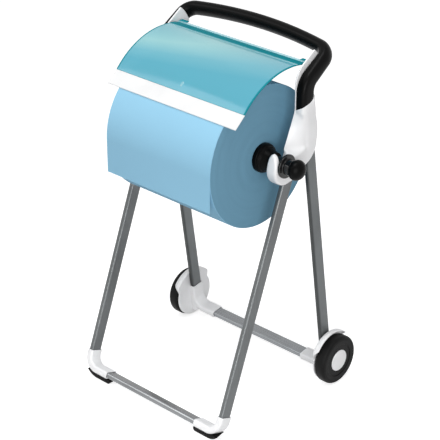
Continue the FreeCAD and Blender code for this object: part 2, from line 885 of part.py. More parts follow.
def plate_outline(grow=0.0):
    """The inner plate that runs up the arm; it deepens forward as it rises."""
    start, middle, end, rise = arm_bend()
    radius = size("handle_bend_radius")
    centre = (start[0] + radius, start[1])
    rear = size("plate_rear_depth") + grow
    low_front = size("plate_front_depth") + grow
    high_front = size("plate_top_front_depth") + grow
    reach = size("plate_top_reach") + grow
    base = size("handle_arm_base")
    along = (math.cos(rise), math.sin(rise))
    across = (-math.sin(rise), math.cos(rise))

    def on_bend(distance, place):
        angle = math.atan2(place[1] - centre[1], place[0] - centre[0])
        return (centre[0] + distance * math.cos(angle), centre[1] + distance * math.sin(angle))

    def up_arm(distance, aside):
        return (end[0] + along[0] * distance + across[0] * aside,
                end[1] + along[1] * distance + across[1] * aside)

    return [
        ((start[0] - low_front, base),),
        ((start[0] + rear, base),),
        ((start[0] + rear, start[1]),),
        (on_bend(radius - rear, end), on_bend(radius - rear, middle)),
        (up_arm(reach - size("plate_end_rear_cut"), -rear),),
        (up_arm(reach - size("plate_end_front_cut"), high_front),
         up_arm(reach, (high_front - rear) / 2)),
        (on_bend(radius + high_front, end),),
        ((start[0] - low_front, start[1]),
         on_bend(radius + (low_front + high_front) / 2, middle)),
    ]


def to_roll_frame(shape, x):
    shape.Placement = at(x, roll_y, roll_z)
    return shape


def bracket_slab(outline, near, far, side):
    """An outline spread from one distance off the middle of the stand to another."""
    sign = SIDES[side]
    slab = side_face(outline).extrude(vec(sign * (far - near), 0, 0))
    return to_roll_frame(slab, sign * near)


def leg_spaces(side):
    """The two sockets for the leg tops."""
    spaces = []
    for end, (frame, lean, bar_height) in U_FRAMES.items():
        foot = vec(SIDES[side] * leg_x, 0, leg_foot(end))
        length = leg_top(end) - leg_foot(end) + size("socket_clearance")
        space = tube_space(foot, X_AXIS, vec(0, 0, length))
        space.Placement = frame
        spaces.append(space)
    return spaces


def leg_screw_places(side):
    """Where the screws through the leg tops start, on the bracket's inner face."""
    places = []
    for end, (frame, lean, bar_height) in U_FRAMES.items():
        height = leg_top(end) - size("leg_screw_drop")
        centre = frame.multVec(vec(SIDES[side] * leg_x, 0, height))
        places.append(vec(SIDES[side] * bracket_inner, centre.y, centre.z))
    return places


def handle_screw_places(side):
    """Where the screws through the inner plate into the handle start."""
    start, middle, end, rise = arm_bend()
    run = size("handle_screw_run")
    spots = [
        (start[0], start[1] - size("handle_screw_drop")),
        (end[0] + run * math.cos(rise), end[1] + run * math.sin(rise)),
    ]
    return [vec(SIDES[side] * bracket_inner, roll_y + y, roll_z + z) for y, z in spots]


def hinge_place():
    """The cover's hinge axis: distance back and up from the roll's axis."""
    angle = math.radians(size("hinge_angle"))
    reach = size("cover_radius") - size("cover_thickness") / 2
    return (size("cover_centre_back") + reach * math.cos(angle),
            size("cover_centre_up") + reach * math.sin(angle))


def hinge_pin(side):
    """From inside the cover's barrel to just short of the outer face of the arm."""
    sign = SIDES[side]
    y, z = hinge_place()
    start = cover_half - size("hinge_pin_grip")
    length = bracket_outer - size("hinge_pin_setback") - start
    return Part.makeCylinder(size("hinge_pin_radius"), length,
                             vec(sign * start, roll_y + y, roll_z + z), vec(sign, 0, 0))


def make_brackets():
    screw_depth = size("bracket_thickness") - size("screw_end_wall")
    for side, sign in SIDES.items():
        shape = bracket_slab(bracket_outline(), bracket_inner, bracket_outer, side)
        shape = shape.cut(facet_cut(side))
        plate = bracket_slab(plate_outline(), bracket_inner,
                             bracket_inner + size("plate_thickness"), side)
        shape = shape.fuse(plate)
        for space in leg_spaces(side):
            shape = shape.cut(space)
        for place in leg_screw_places(side):
            shape = shape.cut(screw_hole(place, vec(sign, 0, 0), screw_depth))
        for place in handle_screw_places(side):
            shape = shape.cut(screw_hole(place, vec(sign, 0, 0), screw_depth))
        keep(f"{side}_side_bracket", shape.cut(hinge_pin(side)))


# Handle

def handle_path():
    """Up the left arm, round the arched bar and down the right arm."""
    start, middle, end, rise = arm_bend()
    corner = size("handle_corner_radius")
    arch = size("handle_arch_radius")
    reach = size("handle_reach")
    arch_centre = reach - arch
    corner_x = leg_x - corner
    corner_s = arch_centre + math.sqrt((arch - corner) ** 2 - corner_x ** 2)
    lean = math.atan2(corner_x, corner_s - arch_centre)
    meet = (arch * math.sin(lean), arch_centre + arch * math.cos(lean))
    half_turn = (math.pi / 2 - lean) / 2
    turn_mid = (corner_x + corner * math.cos(half_turn), corner_s + corner * math.sin(half_turn))

    def loop(x, s):
        return vec(x, roll_y + start[0] + s * math.cos(rise),
                   roll_z + arm_corner_height() + s * math.sin(rise))

    def side_point(x, place):
        return vec(x, roll_y + place[0], roll_z + place[1])

    base = (size("handle_arm_back"), size("handle_arm_base"))
    left = [
        Part.LineSegment(side_point(-leg_x, base), side_point(-leg_x, start)).toShape(),
        Part.Arc(side_point(-leg_x, start), side_point(-leg_x, middle),
                 side_point(-leg_x, end)).toShape(),
        Part.LineSegment(side_point(-leg_x, end), loop(-leg_x, corner_s)).toShape(),
        Part.Arc(loop(-leg_x, corner_s), loop(-turn_mid[0], turn_mid[1]),
                 loop(-meet[0], meet[1])).toShape(),
    ]
    bar = [Part.Arc(loop(-meet[0], meet[1]), loop(0, reach), loop(meet[0], meet[1])).toShape()]
    right = [
        Part.Arc(loop(meet[0], meet[1]), loop(turn_mid[0], turn_mid[1]),
                 loop(leg_x, corner_s)).toShape(),
        Part.LineSegment(loop(leg_x, corner_s), side_point(leg_x, end)).toShape(),
        Part.Arc(side_point(leg_x, end), side_point(leg_x, middle),
                 side_point(leg_x, start)).toShape(),
        Part.LineSegment(side_point(leg_x, start), side_point(leg_x, base)).toShape(),
    ]
    return Part.Wire(left + bar + right)


def make_handle():
    path = handle_path()
    base = path.Vertexes[0].Point
    section = Part.Ellipse(
        base + vec(0, size("handle_depth") / 2, 0),
        base + vec(size("handle_width") / 2, 0, 0), base)
    profile = Part.Wire([section.toShape()])
    shape = swept(path, profile)
    gap = size("tongue_gap")
    screw_depth = size("bracket_thickness") - size("screw_end_wall")
    near = bracket_inner - CUT_MARGIN
    for side, sign in SIDES.items():
        plate = bracket_slab(plate_outline(size("plate_margin")), near,
                             bracket_inner + size("plate_thickness") + gap, side)
        seat = bracket_slab(bracket_outline(), near, bracket_outer + CUT_MARGIN, side)
        shape = shape.cut(plate).cut(seat)
        for place in handle_screw_places(side):
            shape = shape.cut(screw_hole(place, vec(sign, 0, 0), screw_depth))
        shape = shape.cut(hinge_pin(side))
    biggest = max(shape.Solids, key=lambda solid: solid.Volume)
    keep("handle", biggest)


# Cover, tear bar and hinge pins

def arc_point(radius, angle):
    return (size("cover_centre_back") + radius * math.cos(angle),
            size("cover_centre_up") + radius * math.sin(angle))


def cover_section():
    """The cover's curved section, with the hinge barrel at its rear edge."""
    outer = size("cover_radius")
    inner = outer - size("cover_thickness")
    back = math.radians(size("hinge_angle"))
    front = math.radians(size("cover_front_angle"))
    middle = (back + front) / 2
    return [
        (arc_point(outer, back),),
        (arc_point(outer, front), arc_point(outer, middle)),
        (arc_point(inner, front),),
        (arc_point(inner, back), arc_point(inner, middle)),
    ]


def make_cover():
    """The curved sheet, its hinge barrel and a stiffening tab behind each end of the barrel."""
    half = cover_half
    y, z = hinge_place()
    sheet_part = side_face(cover_section()).extrude(vec(2 * half, 0, 0))
    barrel = Part.makeCylinder(size("hinge_barrel_radius"), 2 * half, vec(0, y, z), X_AXIS)
    bore = Part.makeCylinder(size("hinge_pin_radius") + size("running_clearance"),
                             2 * half, vec(0, y, z), X_AXIS)
    shape = sheet_part.fuse(barrel)
    tab_length = size("cover_tab_length")
    for start in (0, 2 * half - tab_length):
        tab = Part.makeBox(tab_length, size("cover_tab_depth"), size("cover_thickness"),
                           vec(start, y, z + size("hinge_barrel_radius") - size("cover_thickness")))
        shape = shape.fuse(tab)
    keep("cover", to_roll_frame(shape.cut(bore).removeSplitter(), -half))


def make_hinge_pins():
    for side in SIDES:
        keep(f"hinge_pin_{side}", hinge_pin(side))


def make_tear_bar():
    """A white strip edge to edge with the cover's front, with fine saw teeth along its foot."""
    front = math.radians(size("cover_front_angle"))
    slope = math.radians(size("bar_slope_angle"))
    half = cover_half
    thick = size("bar_thickness")
    tooth = size("bar_tooth_depth")
    outward = (-math.sin(slope), math.cos(slope))

    def down_bar(distance, out=0.0):
        return (top[0] - distance * math.cos(slope) + out * outward[0],
                top[1] - distance * math.sin(slope) + out * outward[1])

    top = arc_point(size("cover_radius") - size("cover_thickness"), front)
    reach = thick / math.cos(front - math.pi / 2 - slope)
    top_out = (top[0] + reach * math.cos(front), top[1] + reach * math.sin(front))
    blade = size("bar_depth") - tooth
    strip = side_face([(top,), (top_out,), (down_bar(blade, thick),), (down_bar(blade),)])
    strip = strip.extrude(vec(2 * half, 0, 0))
    strip.translate(vec(-half, 0, 0))
    count = int(round(2 * half / size("bar_tooth_pitch")))
    step = 2 * half / count
    root = down_bar(blade - tooth / 4)
    low = down_bar(blade)
    tip = down_bar(size("bar_depth"))
    corners = [vec(-half, *root), vec(-half, *low)]
    for index in range(count):
        start = -half + index * step
        corners.append(vec(start + step / 2, *tip))
        corners.append(vec(start + step, *low))
    corners.append(vec(half, *root))
    corners.append(corners[0])
    teeth = Part.Face(Part.makePolygon(corners)).extrude(
        vec(0, thick * outward[0], thick * outward[1]))
    keep("tear_bar", to_roll_frame(strip.fuse(teeth).removeSplitter(), 0))


# Spindle, core and roll, turned about the roll's axis

def roll_body(label):
    return new_body(label, at(0, roll_y, roll_z))


def journal_start():
    """Where the journals begin, just inside the brackets."""
    return bracket_inner - size("end_play")


def knob_start():
    """Where each collar ends and its knob begins."""
    return (bracket_outer + size("end_play") + size("collar_flange_thickness")
            + size("collar_hub_length"))


def shaft_end():
    return knob_end - size("knob_length") / 2


def make_shaft():
    end = shaft_end()
    revolve(roll_body("spindle_shaft"), [
        (-end, 0),
        (end, 0),
        (end, size("shaft_radius")),
        (-end, size("shaft_radius")),
    ])


def make_cones():
    """Plugs that centre the roll's core; each has a flange and a neck up to the bracket."""
    face = roll_half
    plug = size("core_radius") - size("core_wall") - size("running_clearance")
    plug_end = face - size("cone_plug_depth")
    flange_end = face + size("cone_flange_thickness")
    for side, sign in SIDES.items():
        body = roll_body(f"core_cone_{side}")
        turn = revolve(body, [
            (sign * plug_end, size("shaft_radius")),
            (sign * journal_start(), size("shaft_radius")),
            (sign * journal_start(), size("cone_neck_radius")),
            (sign * (flange_end + size("cone_neck_run")), size("cone_neck_radius")),
            (sign * flange_end, size("cone_flange_radius")),
            (sign * face, size("cone_flange_radius")),
            (sign * face, plug),
            (sign * plug_end, plug - size("cone_plug_taper")),
        ])
        add_fillet(body, turn, rings_at(turn, (sign * flange_end,), size("cone_flange_radius")),
                   size("cone_flange_thickness") * EDGE_SHARE)


def make_collars():
    """Journals that run in the bracket hooks, each with a flange outside the hook."""
    flange = bracket_outer + size("end_play")
    flange_end = flange + size("collar_flange_thickness")
    for side, sign in SIDES.items():
        body = roll_body(f"spindle_collar_{side}")
        turn = revolve(body, [
            (sign * journal_start(), size("shaft_radius")),
            (sign * knob_start(), size("shaft_radius")),
            (sign * knob_start(), size("collar_hub_radius")),
            (sign * flange_end, size("collar_hub_radius")),
            (sign * flange_end, size("collar_flange_radius")),
            (sign * flange, size("collar_flange_radius")),
            (sign * flange, size("journal_radius")),
            (sign * journal_start(), size("journal_radius")),
        ])
        add_fillet(body, turn, rings_at(turn, (sign * flange_end,), size("collar_flange_radius")),
                   size("collar_flange_thickness") * EDGE_SHARE)


def make_knobs():
    """Rounded end knobs that hold the collars on the shaft."""
    for side, sign in SIDES.items():
        body = roll_body(f"spindle_knob_{side}")
        turn = revolve(body, [
            (sign * knob_start(), size("shaft_radius")),
            (sign * shaft_end(), size("shaft_radius")),
            (sign * shaft_end(), 0),
            (sign * knob_end, 0),
            (sign * knob_end, size("knob_radius")),
            (sign * knob_start(), size("knob_radius")),
        ])
        ends = (sign * knob_start(), sign * knob_end)
        add_fillet(body, turn, rings_at(turn, ends, size("knob_radius")), size("knob_edge"))


def make_roll():
    half = roll_half
    rings = {
        "roll_core": (size("core_radius") - size("core_wall"), size("core_radius")),
        "paper_roll": (size("core_radius"), size("roll_radius")),
    }
    for label, (inner, outer) in rings.items():
        revolve(roll_body(label), [
            (-half, inner), (half, inner), (half, outer), (-half, outer),
        ])


def make_tail():
    """The free end of the paper: it follows the roll from under the tear bar, then hangs."""
    inner = size("roll_radius") + size("tail_gap")
    outer = inner + size("tail_thickness")
    top = math.radians(size("tail_top_angle"))
    low = math.pi
    middle = (top + low) / 2
    bottom = -size("tail_drop")

    def on_roll(radius, angle):
        return (radius * math.cos(angle), radius * math.sin(angle))

    outline = [
        (on_roll(outer, top),),
        (on_roll(outer, low), on_roll(outer, middle)),
        ((-outer, bottom),),
        ((-inner, bottom),),
        (on_roll(inner, low),),
        (on_roll(inner, top), on_roll(inner, middle)),
    ]
    half = roll_half - size("tail_inset")
    tail = side_face(outline).extrude(vec(2 * half, 0, 0))
    keep("paper_tail", to_roll_frame(tail, -half))


# Screws, in groups of like ones

def make_screws():
    groups = {
        "leg_screws": (leg_screw_places, size("leg_screw_length")),
        "handle_screws": (handle_screw_places, size("handle_screw_length")),
    }
    for label, (places, length) in groups.items():
        screws = []
        for side, sign in SIDES.items():
            for place in places(side):
                screws.append(screw_solid(place, vec(sign, 0, 0), length))
        keep(label, Part.makeCompound(screws))


def check_and_write():
    doc.recompute()
    for item in doc.Objects:
        if "Invalid" in item.State or "Error" in item.State:
            raise RuntimeError(f"{item.Label} failed: {item.State}")
    os.makedirs("parts", exist_ok=True)
    for node in nodes:
        shape = node.Shape
        if shape.isNull() or not shape.isValid():
            raise RuntimeError(f"{node.Label} has no valid shape")
        shape.exportStep(f"parts/{node.Label}.step")


make_legs()
make_crossbars()
make_front_corners()
make_foot_pads()
make_rear_corners()
make_axles()
make_axle_clips()
make_tyres()
make_hubs()
make_hub_caps()
make_brackets()
make_handle()
make_cover()
make_tear_bar()
make_hinge_pins()
make_shaft()
make_cones()
make_collars()
make_knobs()
make_roll()
make_tail()
make_screws()
check_and_write()
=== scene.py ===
import cmath
import math

import bmesh
import bpy
import numpy as np
from mathutils import Matrix, Vector
from mathutils.geometry import delaunay_2d_cdt


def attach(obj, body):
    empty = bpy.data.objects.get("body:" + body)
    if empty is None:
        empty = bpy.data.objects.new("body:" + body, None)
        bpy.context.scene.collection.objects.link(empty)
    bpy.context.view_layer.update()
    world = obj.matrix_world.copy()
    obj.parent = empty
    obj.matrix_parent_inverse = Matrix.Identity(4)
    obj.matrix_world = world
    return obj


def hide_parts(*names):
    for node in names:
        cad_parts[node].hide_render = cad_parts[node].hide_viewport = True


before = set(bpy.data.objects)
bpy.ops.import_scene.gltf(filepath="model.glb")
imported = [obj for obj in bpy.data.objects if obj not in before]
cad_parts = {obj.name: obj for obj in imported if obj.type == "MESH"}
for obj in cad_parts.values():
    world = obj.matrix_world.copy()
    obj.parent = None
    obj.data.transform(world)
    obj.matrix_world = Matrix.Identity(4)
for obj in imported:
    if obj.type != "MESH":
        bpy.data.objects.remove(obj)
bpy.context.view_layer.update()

# The looks of the paper roll floor stand. Lengths are written in millimetres and
# turned into metres when a mesh is made.
MM = 0.001
QUARTER_TURN = math.pi / 2
FULL_TURN = 2 * math.pi
SIDES = {"left": -1, "right": 1}

# Places of the stand, the same as in the solids
ROLL = ROLL_Y, ROLL_Z = -19.5, 730.0
ROLL_RADIUS, ROLL_HALF, CORE_RADIUS = 192.0, 185.0, 34.0
LEG_X = 247.5
AXLE = AXLE_Y, AXLE_Z = 190.7, 71.0
FRONT_LEAN, REAR_LEAN = math.radians(20.9013), math.radians(8.4986)
FRONT_BAR_Y, FRONT_BAR_Z, REAR_BAR_Z = -242.9, 23.4, 38.6
FRONT_GROUND_Y = FRONT_BAR_Y - FRONT_BAR_Z * math.tan(FRONT_LEAN)
REAR_GROUND_Y = AXLE_Y + AXLE_Z * math.tan(REAR_LEAN)
BRACKET_INNER, BRACKET_OUTER = 231.0, 264.0
COVER_Y, COVER_Z, COVER_RADIUS = ROLL_Y + 58.0, ROLL_Z + 10.0, 228.0

# Limits in metres for the welding of points and the removal of slivers
WELD, SLIVER = 2e-6, 1e-7


# Mesh helpers

def new_object(name, data):
    thing = bpy.data.objects.new(name, data)
    bpy.context.collection.objects.link(thing)
    return thing


def add_piece(name, shape, material, body, slot, *nodes, sharp=50):
    """A closed mesh, welded, facing outward and smooth up to an angle, on its body.

    The CAD nodes that are named last are the ones that it stands for.
    """
    points, faces = shape
    mesh = bpy.data.meshes.new(name)
    mesh.from_pydata([tuple(float(c) * MM for c in point) for point in points], [], faces)
    work = bmesh.new()
    work.from_mesh(mesh)
    bmesh.ops.remove_doubles(work, verts=work.verts, dist=WELD)
    bmesh.ops.dissolve_degenerate(work, edges=work.edges, dist=SLIVER)
    bmesh.ops.recalc_face_normals(work, faces=work.faces)
    work.to_mesh(mesh)
    work.free()
    for polygon in mesh.polygons:
        polygon.use_smooth = True
    mesh.set_sharp_from_angle(angle=math.radians(sharp))
    mesh.materials.append(material)
    piece = new_object(name, mesh)
    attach(piece, body)
    if nodes:
        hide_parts(*nodes)
    return piece


def on_circle(centre, radius, angle):
    """The flat place at this angle on a circle."""
    return centre[0] + radius * math.cos(angle), centre[1] + radius * math.sin(angle)


def share_of(low, high, value):
    """How far a value is on the way from low to high, from 0 to 1."""
    return max(0.0, min(1.0, (value - low) / (high - low)))


def smooth_step(low, high, value):
    share = share_of(low, high, value)
    return share * share * (3 - 2 * share)


def angles_round(steps):
    """Evenly spaced angles round a full turn."""
    return [FULL_TURN * step / steps for step in range(steps)]


def unit(vector):
    return vector / np.linalg.norm(vector)


def softened(corners, steps=6):
    """Rounds the corners of a closed flat outline; each corner is (a, b) or (a, b, radius)."""
    outline = []
    for index, corner in enumerate(corners):
        here = np.array(corner[:2], float)
        if len(corner) < 3:
            outline.append(tuple(here))
            continue
        radius = corner[2]
        before = unit(np.array(corners[index - 1][:2]) - here)
        after = unit(np.array(corners[(index + 1) % len(corners)][:2]) - here)
        half = math.acos(before @ after) / 2
        run = radius / math.tan(half)
        centre = here + unit(before + after) * radius / math.sin(half)
        start, end = (math.atan2(*(here + way * run - centre)[::-1]) for way in (before, after))
        turn = (end - start + math.pi) % FULL_TURN - math.pi
        outline += [on_circle(centre, radius, start + turn * step / steps) for step in range(steps + 1)]
    return outline


def oval(width, depth, corner):
    """A rounded rectangle about the origin."""
    w, d = width / 2, depth / 2
    return softened([(w, -d, corner), (w, d, corner), (-w, d, corner), (-w, -d, corner)])


def rounding(radius, steps):
    """Steps of a rounded rim, as (depth from the end, inset from the outline)."""
    turns = [QUARTER_TURN * step / steps for step in range(steps + 1)]
    return [(radius * (1 - math.cos(turn)), radius * (1 - math.sin(turn))) for turn in turns]


def skin(rings, close_path=False, cap=True):
    """Points and faces of a skin over closed rings of equal length."""
    points = [point for ring in rings for point in ring]
    width, total = len(rings[0]), len(points)
    faces = []
    for base in range(0, total if close_path else total - width, width):
        after = (base + width) % total
        for column in range(width):
            right = (column + 1) % width
            faces.append((base + column, base + right, after + right, after + column))
    if cap and not close_path:
        faces += [tuple(range(width)), tuple(range(total - width, total))]
    return points, faces


def skin_of_slab(rings, pairs):
    """A skin whose two ends are strips between the first and the last points of the ring."""
    points, faces = skin(rings, cap=False)
    width = len(rings[0])
    for base in (0, len(points) - width):
        for index in range(pairs):
            mirror = width - 1 - index
            faces.append((base + index, base + index + 1, base + mirror - 1, base + mirror))
        nose = range(base + pairs, base + width - pairs)
        if len(nose) > 2:
            faces.append(tuple(nose))
    return points, faces


def lathe(profile, centre, segments, sign=1):
    """A closed profile of (along, radius) turned about an axis along X."""
    rings = [[(sign * along, *on_circle(centre, radius, angle)) for along, radius in profile]
             for angle in angles_round(segments)]
    return skin(rings, close_path=True)


def outline_normals(ring):
    """Outward unit normals at the points of a closed flat outline."""
    edge = np.roll(ring, -1, axis=0) - np.roll(ring, 1, axis=0)
    normal = np.stack([edge[:, 1], -edge[:, 0]], axis=1)
    normal /= np.maximum(np.linalg.norm(normal, axis=1, keepdims=True), 1e-9)
    area = np.sum(ring[:, 0] * np.roll(ring[:, 1], -1) - np.roll(ring[:, 0], -1) * ring[:, 1])
    return normal if area > 0 else -normal


def spread(outline, x_start, x_end, edge, steps):
    """Rings of an outline in the YZ plane, spread along X with rounded rims."""
    ring = np.array(outline, float)
    normal = outline_normals(ring)
    direction = 1.0 if x_end > x_start else -1.0
    near, far = [], []
    for depth, inset in rounding(edge, steps):
        flat = ring - normal * inset
        near.append([(x_start + direction * depth, y, z) for y, z in flat])
        far.append([(x_end - direction * depth, y, z) for y, z in flat])
    return near + far[::-1]


def arc_through(first, middle, last, steps):
    """Points of the arc through three flat points, ends included."""
    a, b, c = (complex(*point) for point in (first, middle, last))
    ab, ac = b - a, c - a
    centre = a + (abs(ab)**2 * ac - abs(ac)**2 * ab) / (ab.conjugate() * ac - ab * ac.conjugate())
    start, via, end = (cmath.phase(point - centre) for point in (a, b, c))
    turn = (end - start) % FULL_TURN
    if (via - start) % FULL_TURN > turn:
        turn -= FULL_TURN
    return [on_circle((centre.real, centre.imag), abs(a - centre), start + turn * step / steps)
            for step in range(steps + 1)]


def resampled(outline, spacing, rounds):
    """A closed outline at even spacing; rounds of averaging take off its sharp corners."""
    ring = np.array(outline, float)
    closed = np.vstack([ring, ring[:1]])
    lengths = np.concatenate([[0], np.cumsum(np.linalg.norm(np.diff(closed, axis=0), axis=1))])
    places = np.linspace(0, lengths[-1], int(lengths[-1] / spacing), endpoint=False)
    even = np.stack([np.interp(places, lengths, closed[:, way]) for way in (0, 1)], axis=1)
    for _ in range(rounds):
        even = (np.roll(even, 1, axis=0) + 2 * even + np.roll(even, -1, axis=0)) / 4
    return even


# Material helpers

def feed(tree, node, inputs):
    """Gives a node's inputs: another node's output is linked, a number or colour is set."""
    for name, value in inputs.items():
        if isinstance(value, bpy.types.NodeSocket):
            tree.links.new(value, node.inputs[name])
        else:
            node.inputs[name].default_value = value


def add_node(tree, kind, inputs):
    node = tree.nodes.new("ShaderNode" + kind)
    feed(tree, node, inputs)
    return node


def new_material(name):
    """A material with its node tree and its main shader."""
    material = bpy.data.materials.new(name)
    material.use_nodes = True
    return material, material.node_tree, material.node_tree.nodes["Principled BSDF"]


def object_place(tree, scale=(1, 1, 1)):
    """The place on the piece, stretched or drawn together along each axis."""
    source = tree.nodes.new("ShaderNodeTexCoord")
    return add_node(tree, "Mapping", {"Vector": source.outputs["Object"], "Scale": scale}).outputs["Vector"]


def noise(tree, place, scale, detail, roughness=0.5, line=False):
    """Cloudy noise over a place, or along a line by one number."""
    texture = tree.nodes.new("ShaderNodeTexNoise")
    if line:
        texture.noise_dimensions = "1D"
    feed(tree, texture, {"W" if line else "Vector": place, "Scale": scale,
                         "Detail": detail, "Roughness": roughness})
    return texture.outputs["Fac"]


def maths(tree, operation, *values, kind="Math", output=0):
    """The result of one sum over numbers, vectors and other nodes' outputs."""
    node = tree.nodes.new("ShaderNode" + kind)
    node.operation = operation
    feed(tree, node, dict(enumerate(values)))
    return node.outputs[output]


def mixed(tree, first, second, factor, blend="MIX"):
    """Two colours mixed, or multiplied with blend MULTIPLY."""
    node = tree.nodes.new("ShaderNodeMix")
    node.data_type = "RGBA"
    node.blend_type = blend
    feed(tree, node, {"Factor": factor, "A": first, "B": second})
    return node.outputs["Result"]


def ramp(tree, value, stops):
    """A colour ramp; stops are (position, colour or grey)."""
    node = tree.nodes.new("ShaderNodeValToRGB")
    elements = node.color_ramp.elements
    while len(elements) < len(stops):
        elements.new(0.5)
    for element, (position, colour) in zip(elements, stops):
        element.position = position
        element.color = (*colour, 1) if isinstance(colour, tuple) else (colour, colour, colour, 1)
    tree.links.new(value, node.inputs["Fac"])
    return node.outputs["Color"]


def tinted(tone, factor):
    """A colour, or a number such as a roughness, times a factor, held at 1."""
    if isinstance(tone, tuple):
        return tuple(min(1.0, channel * factor) for channel in tone)
    return min(1.0, tone * factor)


def toned(tree, value, tone, first, last, low=0.3, high=0.7):
    """The tone times first where the value is low, running to last where it is high."""
    return ramp(tree, value, [(low, tinted(tone, first)), (high, tinted(tone, last))])


def bump(tree, height, strength, distance):
    inputs = {"Strength": strength, "Distance": distance, "Height": height}
    return add_node(tree, "Bump", inputs).outputs["Normal"]


# Materials

def moulded(name, colour, roughness, grain=900.0, relief=0.15, clouding=0.04, coat=0.0, specular=0.5):
    """Moulded plastic: faint cloudy tone, fine moulded grain, uneven gloss."""
    material, tree, shader = new_material(name)
    place = object_place(tree)
    cloud = noise(tree, place, 14.0, 4.0)
    fine = noise(tree, place, grain, 2.0)
    gloss = noise(tree, place, 40.0, 3.0)
    feed(tree, shader, {
        "Base Color": toned(tree, cloud, colour, 1 - clouding, 1 + clouding),
        "Roughness": toned(tree, gloss, roughness, 0.88, 1.12),
        "Normal": bump(tree, fine, relief, 0.0002),
        "Specular IOR Level": specular,
        "Coat Weight": coat,
        "Coat Roughness": 0.15,
    })
    return material


def brushed(name, colour, along, roughness, metallic, face_shading=None):
    """Satin metal with fine streaks drawn out along one axis.

    With face_shading, a list of (Y of the face's normal, share), the colour is scaled by the way each face
    looks: painted shade and painted highlight on its faces.
    """
    material, tree, shader = new_material(name)
    stretch = {"x": (2, 500, 500), "z": (500, 500, 2)}[along]
    streaks = noise(tree, object_place(tree, stretch), 1.0, 4.0, 0.6)
    cloud = noise(tree, object_place(tree), 9.0, 3.0)
    streaks_and_cloud = maths(tree, "MULTIPLY_ADD", streaks, 0.75, cloud)
    base = toned(tree, streaks_and_cloud, colour, 0.82, 1.18, 0.5, 1.0)
    # painted shade and painted highlight: the colour is scaled by the way each face looks
    if face_shading:
        normal = tree.nodes.new("ShaderNodeNewGeometry").outputs["Normal"]
        ways = add_node(tree, "SeparateXYZ", {0: normal})
        half = maths(tree, "MULTIPLY_ADD", ways.outputs["Y"], 0.5, 0.5)
        painted_face_shade = ramp(tree, half, [(0.5 + 0.5 * way, share) for way, share in face_shading])
        base = mixed(tree, base, painted_face_shade, 1.0, "MULTIPLY")
    feed(tree, shader, {
        "Base Color": base,
        "Roughness": toned(tree, streaks, roughness, 0.85, 1.2),
        "Normal": bump(tree, streaks, 0.12, 0.0001),
        "Metallic": metallic,
    })
    return material


def rubber(name, colour, roughness):
    """Matt rubber with fine specks and a little dust."""
    material, tree, shader = new_material(name)
    place = object_place(tree)
    speck = noise(tree, place, 260.0, 5.0, 0.7)
    dust = noise(tree, place, 22.0, 4.0)
    feed(tree, shader, {
        "Base Color": toned(tree, dust, colour, 0.8, 1.4, 0.35, 0.75),
        "Roughness": toned(tree, speck, roughness, 0.9, 1.1),
        "Normal": bump(tree, speck, 0.25, 0.0003),
        "Specular IOR Level": 0.1,
    })
    return material


PAPER_GLOSS = {"Roughness": 0.9, "Specular IOR Level": 0.2}


def paper(name, colour):
    """Soft crepe paper with fine folds across the sheet."""
    material, tree, shader = new_material(name)
    crepe = noise(tree, object_place(tree, (350, 1500, 1500)), 1.0, 3.0, 0.6)
    cloud = noise(tree, object_place(tree), 5.0, 2.0)
    feed(tree, shader, {
        "Base Color": toned(tree, cloud, colour, 0.985, 1.015),
        "Normal": bump(tree, crepe, 0.25, 0.0004),
        **PAPER_GLOSS,
    })
    return material


def paper_end(name, colour):
    """The end of the wound roll, whose layers show as rings about its axis."""
    material, tree, shader = new_material(name)
    place = object_place(tree)
    to_axis = (0, -ROLL_Y * MM, -ROLL_Z * MM)
    from_axis = maths(tree, "MULTIPLY_ADD", place, (0, 1, 1), to_axis, kind="VectorMath")
    radius = maths(tree, "LENGTH", from_axis, kind="VectorMath", output="Value")
    rings = noise(tree, radius, 900.0, 3.0, line=True)
    bands = noise(tree, radius, 60.0, 2.0, line=True)
    cloud = noise(tree, place, 6.0, 2.0)
    layers = maths(tree, "MULTIPLY_ADD", rings, 0.35, bands)
    layers_and_cloud = maths(tree, "MULTIPLY_ADD", cloud, 0.5, layers)
    feed(tree, shader, {
        "Base Color": toned(tree, layers_and_cloud, colour, 0.975, 1.025, 0.55, 1.2),
        "Normal": bump(tree, rings, 0.15, 0.0004),
        **PAPER_GLOSS,
    })
    return material


def clear_sheet(name, colour, tint, opacity, roughness=0.12, specular=0.5, ior=1.5):
    """Clear tinted plastic: its own colour over what shows through it.

    A list of (height in metres, colour) in place of one colour changes with the height,
    later toward the right side; this paints a pale highlight band over the sheet's darker lower part.
    """
    material, tree, shader = new_material(name)
    place = object_place(tree)
    cloud = noise(tree, place, 7.0, 2.0)
    gloss = noise(tree, place, 30.0, 2.0)
    if isinstance(colour, list):
        low, high = colour[0][0], colour[-1][0]
        ways = add_node(tree, "SeparateXYZ", {0: place})
        height = maths(tree, "MULTIPLY_ADD", ways.outputs["X"], -0.075, ways.outputs["Z"])
        share = add_node(tree, "MapRange", {"Value": height, "From Min": low, "From Max": high})
        # painted highlight: a pale band high on the sheet, set by height
        painted_highlight_band = ramp(tree, share.outputs["Result"], [((z - low) / (high - low), tone) for z, tone in colour])
        base = mixed(tree, painted_highlight_band, ramp(tree, cloud, [(0.3, 0.98), (0.7, 1.0)]), 1.0, "MULTIPLY")
    else:
        base = toned(tree, cloud, colour, 0.96, 1.04)
    feed(tree, shader, {
        "Base Color": base,
        "Roughness": toned(tree, gloss, roughness, 0.8, 1.25),
        "Specular IOR Level": specular,
        "IOR": ior,
    })
    clear = add_node(tree, "BsdfTransparent", {"Color": (*tint, 1)})
    mix = add_node(tree, "MixShader", {0: opacity, 1: clear.outputs[0], 2: shader.outputs[0]})
    feed(tree, tree.nodes["Material Output"], {"Surface": mix.outputs[0]})
    return material


def grey(value):
    return (value, value, value)


